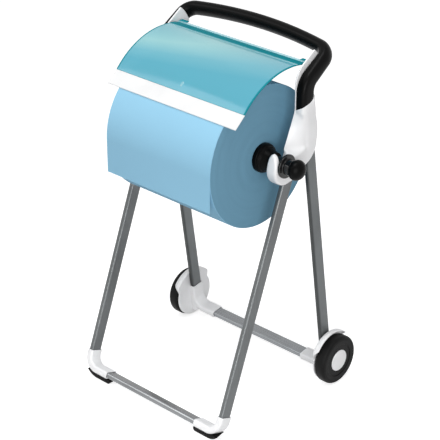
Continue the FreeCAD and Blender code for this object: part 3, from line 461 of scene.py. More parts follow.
WHITE = moulded("white_plastic_look", (0.86, 0.86, 0.865), 0.32, coat=0.2)
WHITE_BAR = moulded("white_bar_look", (0.78, 0.785, 0.785), 0.35)
BLACK = moulded("black_plastic_look", grey(0.003), 0.33, relief=0.3, clouding=0.2, specular=0.07)
BLACK_GLOSS = moulded("black_turned_look", (0.003, 0.003, 0.0035), 0.14,
                      relief=0.05, clouding=0.2, specular=0.4)
KNOB = moulded("black_knob_look", grey(0.002), 0.34, relief=0.3, clouding=0.2, specular=0.06)
HUB = moulded("hub_look", grey(0.0065), 0.48, clouding=0.2, specular=0.1)
BOARD = moulded("board_look", (0.36, 0.29, 0.2), 0.9, 300.0, 0.4, 0.1)
RUBBER = rubber("rubber_look", grey(0.004), 0.6)
TYRE = rubber("tyre_look", grey(0.006), 0.5)
# The face shares below are painted shade and painted highlight: on the front legs the front faces lighter and
# the back faces darker, on the rear legs the front and back faces darker, on the front bar the top darker
# than its rounded front edge.
TUBE_FRONT = brushed("tube_look_front", (0.18, 0.19, 0.194), "z", 0.34, 0.7,
                     [(-0.8, 0.72), (-0.35, 0.62), (0.35, 0.62), (0.8, 0.5)])
TUBE_REAR = brushed("tube_look_rear", (0.113, 0.121, 0.124), "z", 0.34, 0.7,
                    [(-0.8, 0.42), (-0.35, 1.0), (0.35, 1.0), (0.8, 0.42)])
TUBE_ALONG = brushed("tube_look_along", (0.235, 0.245, 0.255), "x", 0.27, 0.85)
TUBE_LOW = brushed("tube_look_low", (0.34, 0.35, 0.36), "x", 0.27, 0.85,
                   [(-0.94, 0.6), (-0.85, 1.0), (-0.2, 1.0), (0.3, 0.42)])
BRIGHT = brushed("bright_steel_look", (0.6, 0.6, 0.62), "x", 0.25, 1.0)
PAPER = paper("paper_look", (0.302, 0.578, 0.765))
# The end's colour is about half the paper's: partly the wound layers' own darker edge, partly painted shade
# on the roll's side.
PAPER_END = paper_end("paper_end_look", (0.152, 0.32, 0.44))
# The cover's colours by height: a pale painted highlight band high up, over the darker teal lower down.
COVER_LOW, COVER_MIDDLE, COVER_PAINTED_HIGHLIGHT = (0.092, 0.410, 0.528), (0.148, 0.467, 0.565), (0.305, 0.612, 0.638)
COVER = clear_sheet("cover_look", [(0.890, COVER_LOW), (0.936, COVER_LOW), (0.953, COVER_MIDDLE),
                                   (0.970, COVER_PAINTED_HIGHLIGHT), (0.990, COVER_MIDDLE)], (0.75, 0.85, 0.9), 0.88)
COVER_PALE = clear_sheet("cover_barrel_look", (0.36, 0.72, 0.78), (0.95, 0.98, 1.0), 0.5)
COVER_EDGE = clear_sheet("cover_edge_look", (0.015, 0.25, 0.30), (0.3, 0.7, 0.75), 0.92, 0.3, 0.12, 1.06)


# Carried-over solids get their looks

def paint(material, *nodes):
    for node in nodes:
        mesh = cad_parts[node].data
        mesh.materials.clear()
        mesh.materials.append(material)


for side in SIDES:
    paint(TUBE_FRONT, f"front_leg_{side}")
    paint(TUBE_REAR, f"rear_leg_{side}")
    paint(BRIGHT, f"wheel_axle_{side}", f"axle_clip_{side}", f"hinge_pin_{side}")
    paint(HUB, f"wheel_hub_{side}")
paint(TUBE_LOW, "front_crossbar")
paint(TUBE_ALONG, "rear_crossbar")
paint(BRIGHT, "leg_screws", "handle_screws", "spindle_shaft")
paint(BOARD, "roll_core")
paint(WHITE_BAR, "tear_bar")


# Corner mouldings

# Each end's lean, ground line, height of its bar and of its moulding's rim at the leg
ENDS = {"front": (-FRONT_LEAN, FRONT_GROUND_Y, FRONT_BAR_Z, 72.5),
        "rear": (REAR_LEAN, REAR_GROUND_Y, REAR_BAR_Z, 112.0)}
ELBOW_WIDE, ELBOW_DEEP, ELBOW_CORNER = 21.0, 41.0, 6.5
ELBOW_BEND, ELBOW_BAR_END, ELBOW_RIM = 35.0, 168.0, 1.4
BEND_X = LEG_X - ELBOW_BEND


def elbow_ring(end, sign, place, turn, inset, proud=0.0):
    """The moulding's section at a place in the plane of the legs, turned from upright to level."""
    lean, ground = ENDS[end][:2]
    plane = Matrix.Translation((0, ground, 0)) @ Matrix.Rotation(lean, 4, "X")
    section = oval(ELBOW_WIDE + proud - 2 * inset, ELBOW_DEEP + proud - 2 * inset, ELBOW_CORNER - inset)
    ring = []
    for across, deep in section:
        x, z = on_circle(place, across, -turn)
        ring.append(tuple(plane @ Vector((sign * x, deep, z))))
    return ring


def elbow_rings(end, sign):
    """Rings of a corner moulding: rim at the leg, one bend, rim at the bar."""
    lean, _, bar_height, top = ENDS[end]
    level = bar_height / math.cos(lean)
    centre = (BEND_X, level + ELBOW_BEND)
    # the sunk mouth round the tube and the rounded rim, as (depth, inset)
    mouth = [(3.0, 3.0), (0.6, 2.9)] + rounding(ELBOW_RIM, 4)
    stations = [((LEG_X, top - depth), 0, inset) for depth, inset in mouth]
    stations += [((LEG_X, height), 0, 0) for height in np.linspace(top - 6, centre[1], 5)]
    stations += [(on_circle(centre, ELBOW_BEND, -turn), turn, 0)
                 for turn in np.linspace(0, QUARTER_TURN, 17)[1:]]
    stations += [((x, level), QUARTER_TURN, 0) for x in np.linspace(BEND_X - 6, ELBOW_BAR_END + 5, 4)]
    stations += [((ELBOW_BAR_END + depth, level), QUARTER_TURN, inset)
                 for depth, inset in reversed(mouth)]
    return [elbow_ring(end, sign, *station) for station in stations]


def boss_rings(sign):
    """The leg's part of the rear moulding, carried on down behind the wheel."""
    low, high = 24.5, 86.0
    heights = [(low + depth, inset) for depth, inset in rounding(2.4, 5)] + [(high, 0.0)]
    return [elbow_ring("rear", sign, (LEG_X, up), 0, inset, proud=0.1) for up, inset in heights]


def fender_rings(sign):
    """Rings round the axle; the rim grows into the lip over the top of the wheel."""
    inner, disc, lip_end = 257.5, 261.0, 275.0
    bore, plain, lip, lip_thick = 6.0, 67.5, 81.0, 3.0
    edge, back_edge = 1.2, 4.0
    rings = []
    for degrees in np.arange(0.0, 360.0, 2.0):
        rise = smooth_step(33, 45, degrees) * (1 - smooth_step(148, 166, degrees))
        length = smooth_step(38, 47, degrees) * (1 - smooth_step(142, 160, degrees))
        outer = plain + (lip - plain) * rise
        out = disc + (lip_end - disc) * length
        under = outer - min(lip_thick, outer - plain + 1.5)
        at_disc = under if length >= 0.02 else min(under, plain - 1.0)
        # up the back, round its edge, over the rim, under the lip and down the disc
        back_round = min(1, (out - inner) / 8 + 0.3)
        profile = [(inner, bore), (inner, outer * 0.6), (inner, outer - back_edge)]
        profile += [(inner + inset * back_round, outer - depth * 0.9)
                    for depth, inset in reversed(rounding(back_edge, 4))]
        profile += [(max(out - edge, inner + 1.7), outer), (out, outer - edge),
                    (out, max(under + 0.4, plain - 2.2)), (max(out - edge, disc), under),
                    (disc, at_disc), (disc, plain * 0.6), (disc, bore)]
        angle = math.radians(degrees)
        rings.append([(sign * along, *on_circle(AXLE, radius, angle)) for along, radius in profile])
    return rings


def make_corners():
    for side, sign in SIDES.items():
        for end in ENDS:
            add_piece(f"{end}_elbow_{side}", skin(elbow_rings(end, sign)), WHITE,
                      "frame", "white_plastic", f"{end}_corner_{side}")
        add_piece(f"axle_boss_{side}", skin(boss_rings(sign)), WHITE, "frame", "white_plastic")
        add_piece(f"fender_{side}", skin(fender_rings(sign), close_path=True), WHITE,
                  "frame", "white_plastic")


make_corners()


# Feet

# The pad's front and inner ends, its corner, its rounded outer end and its greatest height
FOOT_FRONT, FOOT_INNER, FOOT_DEPTH = -256.5, 161.0, 26.6
FOOT_CORNER, FOOT_ROUND, FOOT_TOP = 8.0, 48.0, 17.0
# The underside of the moulding over it: its height at the bar, and its outer bend
UNDERSIDE, OUTER_BEND = 14.55, 45.5


def foot_seat(x, share):
    """Height of the underside of the moulding over a place of the foot."""
    rise = UNDERSIDE
    if x > BEND_X:
        rise += OUTER_BEND - math.sqrt(max(0.0, OUTER_BEND**2 - (x - BEND_X) ** 2))
    slope = math.tan(FRONT_LEAN)
    height = rise / math.cos(FRONT_LEAN) - (FOOT_FRONT - FRONT_GROUND_Y + share * FOOT_DEPTH) * slope
    return min(FOOT_TOP, height / (1 + share * slope * slope) - 0.1)


def foot_outline(share):
    """The pad's outline part of the way back, as (x, y, z) of the right foot."""
    slope = math.tan(FRONT_LEAN)
    back = share * (FOOT_DEPTH + slope * FOOT_CORNER)
    centre_x = 212.5 - FOOT_CORNER * back / 47.0
    corner_x = FOOT_INNER + FOOT_CORNER
    low = [(FOOT_INNER + depth, inset) for depth, inset in rounding(FOOT_CORNER, 6)]
    low += [(x, 0.0) for x in np.linspace(FOOT_INNER + 12.0, centre_x, 6)]
    arc = []
    for angle in np.linspace(0.04, 1.2, 60):
        x = centre_x + FOOT_ROUND * math.sin(angle)
        z = FOOT_ROUND - FOOT_ROUND * math.cos(angle)
        if z > foot_seat(x, share) - 0.6:
            break
        arc.append((x, z))
    arc = [arc[int(index)] for index in np.linspace(0, len(arc) - 1, 14)]
    high = [(x, foot_seat(x, share)) for x in np.linspace(arc[-1][0] + 0.8, corner_x, 26)]
    rise = foot_seat(corner_x, share) - FOOT_CORNER
    high += [(corner_x - FOOT_CORNER * math.sin(angle), FOOT_CORNER + rise * math.cos(angle))
             for angle in np.linspace(0, QUARTER_TURN, 7)[1:-1]]
    return [(x, FOOT_FRONT + share * (FOOT_DEPTH + slope * z), z) for x, z in low + arc + high]


def make_feet():
    ends = [(depth / 29.0, inset) for depth, inset in rounding(1.6, 4)]
    stations = ends + [(share, 0.0) for share in np.linspace(0.15, 0.85, 6)]
    stations += [(1 - share, inset) for share, inset in reversed(ends)]
    for side, sign in SIDES.items():
        rings = []
        for share, inset in stations:
            outline = np.array(foot_outline(share))
            face = outline[:, [0, 2]]
            face = face - outline_normals(face) * inset
            rings.append([(sign * x, y, max(z, 0.0)) for (x, z), y in zip(face, outline[:, 1])])
        add_piece(f"foot_pad_{side}", skin(rings), RUBBER, "frame", "black_rubber", f"front_foot_{side}")


make_feet()


# Wheels

def make_wheels():
    inner, outer, tread = 264.0, 298.0, AXLE_Z
    tyre = softened([
        (inner, 47.0, 0.8), (inner, 60.5, 2.0), (inner + 1.2, 62.5, 0.6), (inner, 64.0, 1.0),
        (inner + 0.4, tread, 9.0), (outer - 0.4, tread, 9.0), (outer, 64.0, 1.0),
        (outer - 1.2, 62.5, 0.6), (outer, 60.5, 2.0), (outer, 48.0, 1.2), (outer - 3.0, 47.0, 0.8),
    ])
    cap = softened([(296.0, 0.0), (300.0, 0.0), (299.6, 14.0), (298.8, 24.0, 6.0), (298.2, 31.0, 1.2),
                    (296.0, 31.0)])
    for side, sign in SIDES.items():
        body = f"wheel_{side}"
        add_piece(f"tyre_ring_{side}", lathe(tyre, AXLE, 160, sign), TYRE, body, "black_rubber",
                  f"tyre_{side}", sharp=60)
        add_piece(f"hub_cap_disc_{side}", lathe(cap, AXLE, 96, sign), WHITE, body, "white_plastic",
                  f"hub_cap_{side}")


make_wheels()


# Side brackets, whose flat places are given as (y, z) from the roll's centre

SLOT_RADIUS, FRONT_EDGE_LEAN = 18.06, math.radians(23.4)
SLOT_MOUTH = (SLOT_RADIUS * math.cos(FRONT_EDGE_LEAN), -SLOT_RADIUS * math.sin(FRONT_EDGE_LEAN))
HOOK_CENTRE, HOOK_RADIUS = (6.0, -12.0), 44.0
PRONG_TOP, PRONG_ROUND = 36.0, 7.5
OUTLINE_SPACING, OUTLINE_ROUNDS, FILL_SPACING = 1.4, 4, 4.0
INNER_ROUND, OUTER_ROUND = 7.0, 6.0
# The arm over the bracket: straight up, one bend, then back at a slope
ARM_Y, ARM_CORNER_Z, ARM_BEND, ARM_RISE = 90.0, 190.7, 45.0, math.radians(33.0)
BEND_RUN = ARM_BEND * math.tan((QUARTER_TURN - ARM_RISE) / 2)
BEND_CENTRE = (ARM_Y + ARM_BEND, ARM_CORNER_Z - BEND_RUN)
PLATE_HALF, PLATE_DEEP, PLATE_THICK = 21.0, 36.0, 4.5


def front_edge(height):
    """A place on the straight front edge, which rises from the mouth of the slot."""
    return SLOT_MOUTH[0] + (height - SLOT_MOUTH[1]) * math.tan(FRONT_EDGE_LEAN), height


def on_bend(radius, share):
    """A place part of the way round the arm's bend, this far from its centre."""
    return on_circle(BEND_CENTRE, radius, math.pi - (QUARTER_TURN - ARM_RISE) * share)


BEND_END = on_bend(ARM_BEND, 1)

# The curved seat of the handle, from the bracket's front edge to its back
SEAT_FRONT, SEAT_BACK = (front_edge(113.0)[0] + 1.0, 122.0), (112.5, 160.0)
SEAT = np.array(sorted(arc_through(SEAT_BACK, (97.5, 136.0), SEAT_FRONT, 60)))


def seat_height(y):
    """Height of the curved seat under the handle, at this distance back."""
    return float(np.interp(y, SEAT[:, 0], SEAT[:, 1]))


def plate_sides():
    """The inner plate's rear edge upward, its rounded end, and its front edge downward."""

    def up_arm(distance, aside):
        return on_circle(on_circle(BEND_END, distance, ARM_RISE), aside, ARM_RISE + QUARTER_TURN)

    rear = [on_bend(ARM_BEND - PLATE_HALF, step / 16) for step in range(17)]
    end = arc_through(up_arm(60.0, -PLATE_HALF), up_arm(62.0, 7.5), up_arm(57.0, PLATE_DEEP), 16)
    front = arc_through(on_bend(ARM_BEND + PLATE_DEEP, 1), on_bend(ARM_BEND + 28.5, 0.5),
                        on_bend(ARM_BEND + PLATE_HALF, 0), 24)
    return rear + end + front


def bracket_ring():
    """The whole inner silhouette of the bracket with its plate, as one closed outline."""
    y, z = HOOK_CENTRE
    diagonal = HOOK_RADIUS * math.sqrt(0.5)
    prong_foot = PRONG_TOP - PRONG_ROUND
    outline = [front_edge(113.0)]
    outline += arc_through(SLOT_MOUTH, (0, -SLOT_RADIUS), (-SLOT_RADIUS, 0), 24)
    outline += arc_through((-SLOT_RADIUS, prong_foot), (-SLOT_RADIUS - PRONG_ROUND, PRONG_TOP),
                           (-SLOT_RADIUS - 2 * PRONG_ROUND, prong_foot), 16)
    outline += arc_through((y - HOOK_RADIUS, z), (y - diagonal, z - diagonal), (y, z - HOOK_RADIUS), 24)
    # the underside and the back, up to the seat
    outline += [(30.0, -53.0)]
    outline += arc_through((88.0, -24.0), (114.0, -4.0), (125.0, 30.0), 16)
    outline += arc_through((125.0, 30.0), (127.0, 66.0), (120.0, 100.0), 16)[1:]
    # the seat, broken by the plate that goes up the arm
    seat = [tuple(point) for point in SEAT[::-1]]
    plate_back, plate_front = ARM_Y + PLATE_HALF, ARM_Y - PLATE_HALF
    outline += [SEAT_BACK]
    outline += [point for point in seat if plate_back + 0.2 < point[0] < SEAT_BACK[0] - 0.1]
    outline += [(plate_back, seat_height(plate_back))]
    outline += plate_sides()
    outline += [(plate_front, max(seat_height(plate_front), 118.0))]
    outline += [point for point in seat if point[0] < plate_front - 0.5]
    return outline


def facet_depth(y, z):
    """Distance off the middle at which the facet cuts the outer face behind the slot."""
    if y < 0:
        return BRACKET_OUTER + 20.0
    low, high = front_edge(14.0)[0], front_edge(125.0)[0]
    inner_y = low + (high - low) * share_of(14.0, 125.0, z)
    outer_y = ARM_Y + (high - 4.0 - ARM_Y) * share_of(18.0, 125.0, z)
    slope = (BRACKET_OUTER + 1 - BRACKET_INNER) / max(outer_y - inner_y, 4.0)
    run_out = max(0.0, 26.0 - z) * 1.7
    return BRACKET_INNER + 1.5 + (y - inner_y) * slope + run_out


def prong_half(y, z):
    """Half the thickness of the bracket; the prong narrows to its tip."""
    full = (BRACKET_OUTER - BRACKET_INNER) / 2
    if y > 0 or z < -9.0:
        return full
    return full * math.sqrt(max(0.04, 1 - ((z + 9.0) / 45.0) ** 2))


# The crease between the facet and the outer face, as (height, distance back)
CREASE = np.array([(14.1, 86.4), (49.3, 81.1), (86.3, 77.7), (124.2, 70.4)])
CREASE_DEPTH, CREASE_WIDTH = 3.6, 5.5


def crease_depth(y, z):
    """A soft valley along the crease."""
    aside = (y - float(np.interp(z, CREASE[:, 0], CREASE[:, 1]))) / CREASE_WIDTH
    return CREASE_DEPTH * math.exp(-aside * aside) * smooth_step(8.0, 30.0, z)


def soft_least(a, b, blend):
    """The lesser of two numbers, blended where they are close."""
    share = share_of(-blend, blend, b - a)
    return b * (1 - share) + a * share - blend * share * (1 - share)


def shortest_way(points, ring):
    """Distance of each point to a closed outline."""
    run = np.roll(ring, -1, axis=0) - ring
    square = np.maximum(np.sum(run * run, axis=1), 1e-12)
    best = np.zeros(len(points))
    batch = 400
    for first in range(0, len(points), batch):
        offset = points[first:first + batch][:, None, :] - ring[None, :, :]
        share = np.clip(np.sum(offset * run[None], axis=2) / square[None], 0, 1)
        gap = offset - share[..., None] * run[None]
        best[first:first + batch] = np.sqrt(np.min(np.sum(gap * gap, axis=2), axis=1))
    return best


def edge_drop(distance, radius):
    """How far a rounded edge falls below the face at this distance from the rim."""
    inside = np.clip(1 - distance / radius, 0, 1)
    return radius * (1 - np.sqrt(1 - inside**2))


def filled(ring):
    """Flat points and triangles that fill an outline, with close rows along its rim."""
    normal = outline_normals(ring)
    points = list(ring)
    for row, _ in rounding(INNER_ROUND, 6)[1:]:
        loop = ring - normal * row
        keep = np.abs(shortest_way(loop, ring) - row) < 0.12 * row + 0.02
        points += list(loop[keep])
    low, high = ring.min(axis=0), ring.max(axis=0)
    rows, columns = (np.arange(low[way], high[way], FILL_SPACING) for way in (0, 1))
    grid = np.array([(y, z) for y in rows for z in columns])
    points += list(grid[shortest_way(grid, ring) > INNER_ROUND + FILL_SPACING * 0.4])
    edges = [(index, (index + 1) % len(ring)) for index in range(len(ring))]
    found = delaunay_2d_cdt([Vector(point) for point in points], edges, [], 1, 1e-4)
    return np.array([tuple(point) for point in found[0]]), [tuple(face) for face in found[2]]


def edges_used_once(triangles):
    """The edges that bound a flat mesh, in the direction of their triangles."""
    once = {}
    for triangle in triangles:
        for a, b in zip(triangle, triangle[1:] + triangle[:1]):
            key = (min(a, b), max(a, b))
            once[key] = None if key in once else (a, b)
    return [pair for pair in once.values() if pair]


def make_brackets():
    ring = resampled(bracket_ring(), OUTLINE_SPACING, OUTLINE_ROUNDS)
    flat, triangles = filled(ring)
    away = shortest_way(flat, ring)
    outer = []
    for y, z in flat:
        face = BRACKET_INNER + PLATE_THICK
        if z - seat_height(y) < 0.8:
            face = soft_least(BRACKET_OUTER, facet_depth(y, z), 3.0) - crease_depth(y, z)
        outer.append(max(face, BRACKET_INNER + 2.0))
    middle_x = (BRACKET_INNER + BRACKET_OUTER) / 2
    prong = np.array([prong_half(y, z) for y, z in flat])
    outer = np.minimum(outer, middle_x + prong)
    inner = np.maximum(BRACKET_INNER, middle_x - prong)
    thick = outer - inner
    inner = inner + edge_drop(away, np.minimum(INNER_ROUND, thick * 0.5))
    outer = outer - edge_drop(away, np.minimum(OUTER_ROUND, thick * 0.42))
    count = len(flat)
    faces = triangles + [tuple(index + count for index in reversed(face)) for face in triangles]
    faces += [(b, a, a + count, b + count) for a, b in edges_used_once(triangles)]
    for side, sign in SIDES.items():
        points = [(sign * x, ROLL_Y + y, ROLL_Z + z)
                  for face in (inner, outer) for x, (y, z) in zip(face, flat)]
        add_piece(f"bracket_{side}", (points, faces), WHITE, "frame", "white_plastic",
                  f"{side}_side_bracket", sharp=60)


make_brackets()


# Handle

# The slanted line in which the handle stands on the bracket, as (distance back, height)
SEAT_LINE = np.array([(66.0, 135.6), (72.0, 137.7), (91.2, 142.6), (102.7, 148.8), (105.8, 152.2),
                      (112.5, 160.5)])
GRIP_WIDE, GRIP_DEEP = 16.0, 22.5
SHOULDER_INNER, GRIP_INNER = 235.5, 235.7


def handle_path():
    """Centres of the handle from the left seat over the bar to the right seat."""
    corner, arch, reach = 37.0, 1300.0, 134.0
    arch_centre = (0.0, reach - arch)
    corner_x = LEG_X - corner
    corner_s = arch_centre[1] + math.sqrt((arch - corner) ** 2 - corner_x**2)
    lean = math.atan2(corner_x, corner_s - arch_centre[1])

    def sloped(x, s):
        """The place x aside and s up the slope of the arms."""
        return (x, *on_circle((ARM_Y, ARM_CORNER_Z), s, ARM_RISE))

    half = [(LEG_X, ARM_Y, z) for z in np.linspace(116.0, BEND_CENTRE[1], 24, endpoint=False)]
    half += [(LEG_X, *on_bend(ARM_BEND, step / 24)) for step in range(24)]
    half += [sloped(LEG_X, s) for s in np.linspace(BEND_RUN, corner_s, 30, endpoint=False)]
    half += [sloped(*on_circle((corner_x, corner_s), corner, (QUARTER_TURN - lean) * step / 24))
             for step in range(24)]
    half += [sloped(*on_circle(arch_centre, arch, QUARTER_TURN - angle))
             for angle in np.linspace(lean, 0, 40, endpoint=False)]
    left = [(-x, y, z) for x, y, z in half]
    return [np.array(point) for point in left + [sloped(0, reach)] + half[::-1]]


def seat_line(x, y):
    """Height at which the handle stands on the bracket, slanted only over its outer part."""
    low = seat_height(y)
    line = float(np.interp(y, SEAT_LINE[:, 0], SEAT_LINE[:, 1]))
    return low + max(0.0, line - low) * share_of(236.0, 263.0, abs(x))


def rounded_section(half_width, half_depth, power):
    """A closed outline between an ellipse (power 2) and a rounded box (larger powers)."""
    outline = []
    for angle in angles_round(56):
        across, deep = math.cos(angle), math.sin(angle)
        outline.append((half_width * math.copysign(abs(across) ** (2 / power), across),
                        half_depth * math.copysign(abs(deep) ** (2 / power), deep)))
    return outline


def make_shoulders():
    """The slanted top of each bracket under the handle's arm."""
    outline = rounded_section(16.3, 22.8, 3.7)
    # each ring's size and its drop below the slanted line; the first is sunk in the bracket
    levels = ((1.0, None), (1.0, 0.9), (0.975, 0.25), (0.93, 0.0), (0.7, 0.0), (0.4, 0.0), (0.1, 0.0))
    for side, sign in SIDES.items():
        rings = []
        for size, drop in levels:
            ring = []
            for across, deep in outline:
                x = max(LEG_X + across * size, SHOULDER_INNER)
                y = ARM_Y + deep * size
                low = seat_height(y) - 6.0
                z = low if drop is None else max(seat_line(x, y) - drop, low + 0.5)
                ring.append((sign * x, ROLL_Y + y, ROLL_Z + z))
            rings.append(ring)
        add_piece(f"bracket_shoulder_{side}", skin(rings), WHITE, "frame", "white_plastic")


def clear_of_plate(x, y, z):
    """A point of an arm, held off the slanted line and the inner plate."""
    if z < 165.0:
        z = max(z, seat_line(x, y) + 0.1)
    back, up = y - BEND_END[0], z - BEND_END[1]
    along = back * math.cos(ARM_RISE) + up * math.sin(ARM_RISE)
    aside = (up * math.cos(ARM_RISE) - back * math.sin(ARM_RISE) - 7.5) / 28.5
    plate_end = 64.0 - (5.0 if aside > 0 else 2.0) * aside**2
    if along < plate_end:
        x = math.copysign(max(abs(x), GRIP_INNER), x)
    return x, y, z


def make_handle():
    centres = handle_path()
    # the deep way of the section starts as Y and is carried along the path without twist
    deep = np.array((0.0, 1.0, 0.0))
    rings = []
    for index, centre in enumerate(centres):
        path = unit(centres[min(index + 1, len(centres) - 1)] - centres[max(index - 1, 0)])
        deep = unit(deep - path * (deep @ path))
        across = np.cross(path, deep)
        power = 3.7 - 1.5 * smooth_step(165.0, 245.0, centre[2])
        ring = []
        for a, b in rounded_section(GRIP_WIDE, GRIP_DEEP, power):
            x, y, z = centre + deep * b + across * a
            if abs(x) > 200:
                x, y, z = clear_of_plate(x, y, z)
            ring.append((x, ROLL_Y + y, ROLL_Z + z))
        rings.append(ring)
    add_piece("handle_grip", skin(rings), BLACK, "frame", "black_plastic", "handle", sharp=60)


make_shoulders()
make_handle()


# Cover

COVER_HALF, COVER_THICK, COVER_RIM = 225.0, 2.5, 4.5
COVER_FROM, COVER_TO = 73.2, 138.0


def cover_arc(up, degrees):
    """The place this far above the cover's outer face, at an angle in degrees."""
    return on_circle((COVER_Y, COVER_Z), COVER_RADIUS + up, math.radians(degrees))


def make_cover_sheet():
    count = 90
    outer = [cover_arc(0, angle) for angle in np.linspace(COVER_FROM, COVER_TO, count)]
    front = [cover_arc(COVER_THICK / 2 * (math.cos(turn) - 1), COVER_TO + 0.3 * math.sin(turn))
             for turn in np.linspace(0, math.pi, 7)[1:-1]]
    inner = [cover_arc(-COVER_THICK, angle) for angle in np.linspace(COVER_TO, COVER_FROM, count)]
    rings = spread(outer + front + inner, -COVER_HALF, COVER_HALF, 0.9, 3)
    # two more rings bound the dark rims at the ends
    middle = len(rings) // 2
    for x in (COVER_HALF - COVER_RIM, -COVER_HALF + COVER_RIM):
        rings.insert(middle, [(x, y, z) for _, y, z in rings[middle - 1]])
    piece = add_piece("cover_sheet", skin_of_slab(rings, count - 1), COVER,
                      "cover", "clear_turquoise", "cover", sharp=60)
    piece.data.materials.append(COVER_EDGE)
    for polygon in piece.data.polygons:
        centre = polygon.center / MM
        depth = COVER_RADIUS - math.hypot(centre.y - COVER_Y, centre.z - COVER_Z)
        on_face = abs(polygon.normal.x) < 0.3 and not 0.1 < depth < COVER_THICK - 0.1
        if not on_face or abs(centre.x) >= COVER_HALF - COVER_RIM + 0.1:
            polygon.material_index = 1


def make_cover_trim():
    """The barrel, strip and bead along the hinge, and the tabs beside the hinge pins; the strip's darkness is
    partly painted shade, the pale bead a painted highlight.
    """
    y, z = cover_arc(-COVER_THICK / 2, COVER_FROM)
    barrel = softened([(-COVER_HALF, 3.1, 0.3), (-COVER_HALF, 6.5, 1.2),
                       (COVER_HALF, 6.5, 1.2), (COVER_HALF, 3.1, 0.3)], steps=5)
    add_piece("cover_barrel", lathe(barrel, (y, z), 48), COVER_PALE, "cover", "clear_turquoise")
    # the dark strip is dark edge plastic standing partly for painted shade in front of the barrel; the pale
    # bead is a painted highlight along the strip's front edge
    for name, first, last, up, material in (("cover_strip", 74.1, 82.3, 1.3, COVER_EDGE),
                                            ("cover_highlight_bead", 82.55, 84.0, 0.9, COVER_PALE)):
        strip = [cover_arc(up, angle) for angle in np.linspace(first, last, 16)]
        strip += [cover_arc(0.05, angle) for angle in np.linspace(last + 0.2, first - 0.2, 18)]
        rings = spread(strip, -COVER_HALF + 1.0, COVER_HALF - 1.0, 0.3, 2)
        add_piece(name, skin(rings), material, "cover", "clear_turquoise")
    top = z + 6.5
    tab = softened([(y - 1.0, top - 2.5, 0.8), (y + 13.0, top - 2.5, 1.2), (y + 13.0, top, 1.2),
                    (y - 1.0, top, 0.8)], steps=4)
    for side, sign in SIDES.items():
        rings = spread(tab, sign * (COVER_HALF - 26.0), sign * COVER_HALF, 0.8, 4)
        add_piece(f"cover_tab_{side}", skin(rings), COVER_EDGE, "cover", "clear_turquoise")


def make_glint_nub():
    """A small pale oval raised on the front of the cover, whose paleness is a painted highlight standing for
    a glint.
    """
    nub_x, nub_angle, half_wide, half_long = -1.0, 132.8, 4.6, 7.5
    half_angle = math.degrees(half_long / COVER_RADIUS)
    # each ring's share of the oval and its height over the cover
    levels = ((0.05, 0.9), (0.4, 0.84), (0.7, 0.66), (0.9, 0.4), (1.0, 0.1), (0.9, -0.6), (0.05, -0.6))
    rings = [[(nub_x + half_wide * share * math.cos(angle),
               *cover_arc(up, nub_angle + half_angle * share * math.sin(angle)))
              for angle in angles_round(32)] for share, up in levels]
    add_piece("cover_glint_nub", skin(rings), COVER_PALE, "cover", "clear_turquoise", sharp=60)


make_cover_sheet()
make_cover_trim()
make_glint_nub()


# Spindle

def make_spindle():
    cone = softened([
        (145.0, 8.0, 0.3), (230.4, 8.0, 0.3), (230.4, 25.0, 0.8), (223.0, 25.0, 6.0), (208.0, 31.0, 1.0),
        (207.6, 32.4, 0.8), (202.5, 35.4, 1.0), (202.1, 36.8, 0.8), (197.5, 38.2, 1.0), (196.8, 39.0, 0.6),
        (185.2, 39.0, 1.5), (185.2, 30.0, 0.4), (145.0, 27.0, 2.0),
    ])
    collar = softened([
        (230.4, 8.0, 0.3), (289.6, 8.0, 0.3), (289.6, 21.0, 0.8), (271.6, 21.0, 2.0), (271.6, 32.0, 2.4),
        (264.6, 32.0, 2.4), (264.6, 18.0, 0.5), (230.4, 18.0, 0.8),
    ])
    ball = [(302.0 + 21.0 * math.cos(turn), 27.0 * math.sin(turn)) for turn in np.linspace(2.12, 0.0, 40)]
    knob = [(289.6, 0.0), (289.6, 21.0)] + ball
    for side, sign in SIDES.items():
        for name, profile, material, node, sharp in (("cone", cone, KNOB, "core_cone", 50),
                                                     ("collar", collar, BLACK_GLOSS, "spindle_collar", 50),
                                                     ("knob", knob, KNOB, "spindle_knob", 60)):
            add_piece(f"{name}_{side}", lathe(profile, ROLL, 96, sign), material,
                      "spindle", "black_plastic", f"{node}_{side}", sharp=sharp)


make_spindle()


# Roll and its free end

def make_roll():
    surface, last_layer = 191.9, 189.5
    # half of the profile: the end face with its faint waves, and the rounded edge
    face = [(-ROLL_HALF, CORE_RADIUS)]
    for radius in np.linspace(CORE_RADIUS, last_layer, 40)[1:]:
        wave = 0.35 * math.sin(radius * 0.21) * math.sin(radius * 0.043 + 1.0) + 0.15 * math.sin(radius * 1.3)
        face.append((-ROLL_HALF + max(0.0, 0.4 + wave), radius))
    face += [(-ROLL_HALF + 0.8, 191.3), (-ROLL_HALF + 2.2, surface)]
    profile = face + [(along, surface) for along in np.linspace(-ROLL_HALF + 6, ROLL_HALF - 6, 48)]
    profile += [(-along, radius) for along, radius in reversed(face)]
    rings = []
    for angle in angles_round(256):
        ring = []
        for along, radius in profile:
            swell = 0.08 * math.sin(3 * angle + along * 0.01) if radius > last_layer + 0.5 else 0.0
            ring.append((along, *on_circle(ROLL, radius + swell, angle)))
        rings.append(ring)
    piece = add_piece("paper_wound", skin(rings, close_path=True), PAPER,
                      "spindle", "wound_paper", "paper_roll", sharp=40)
    piece.data.materials.append(PAPER_END)
    for polygon in piece.data.polygons:
        if abs(polygon.normal.x) > 0.7:
            polygon.material_index = 1


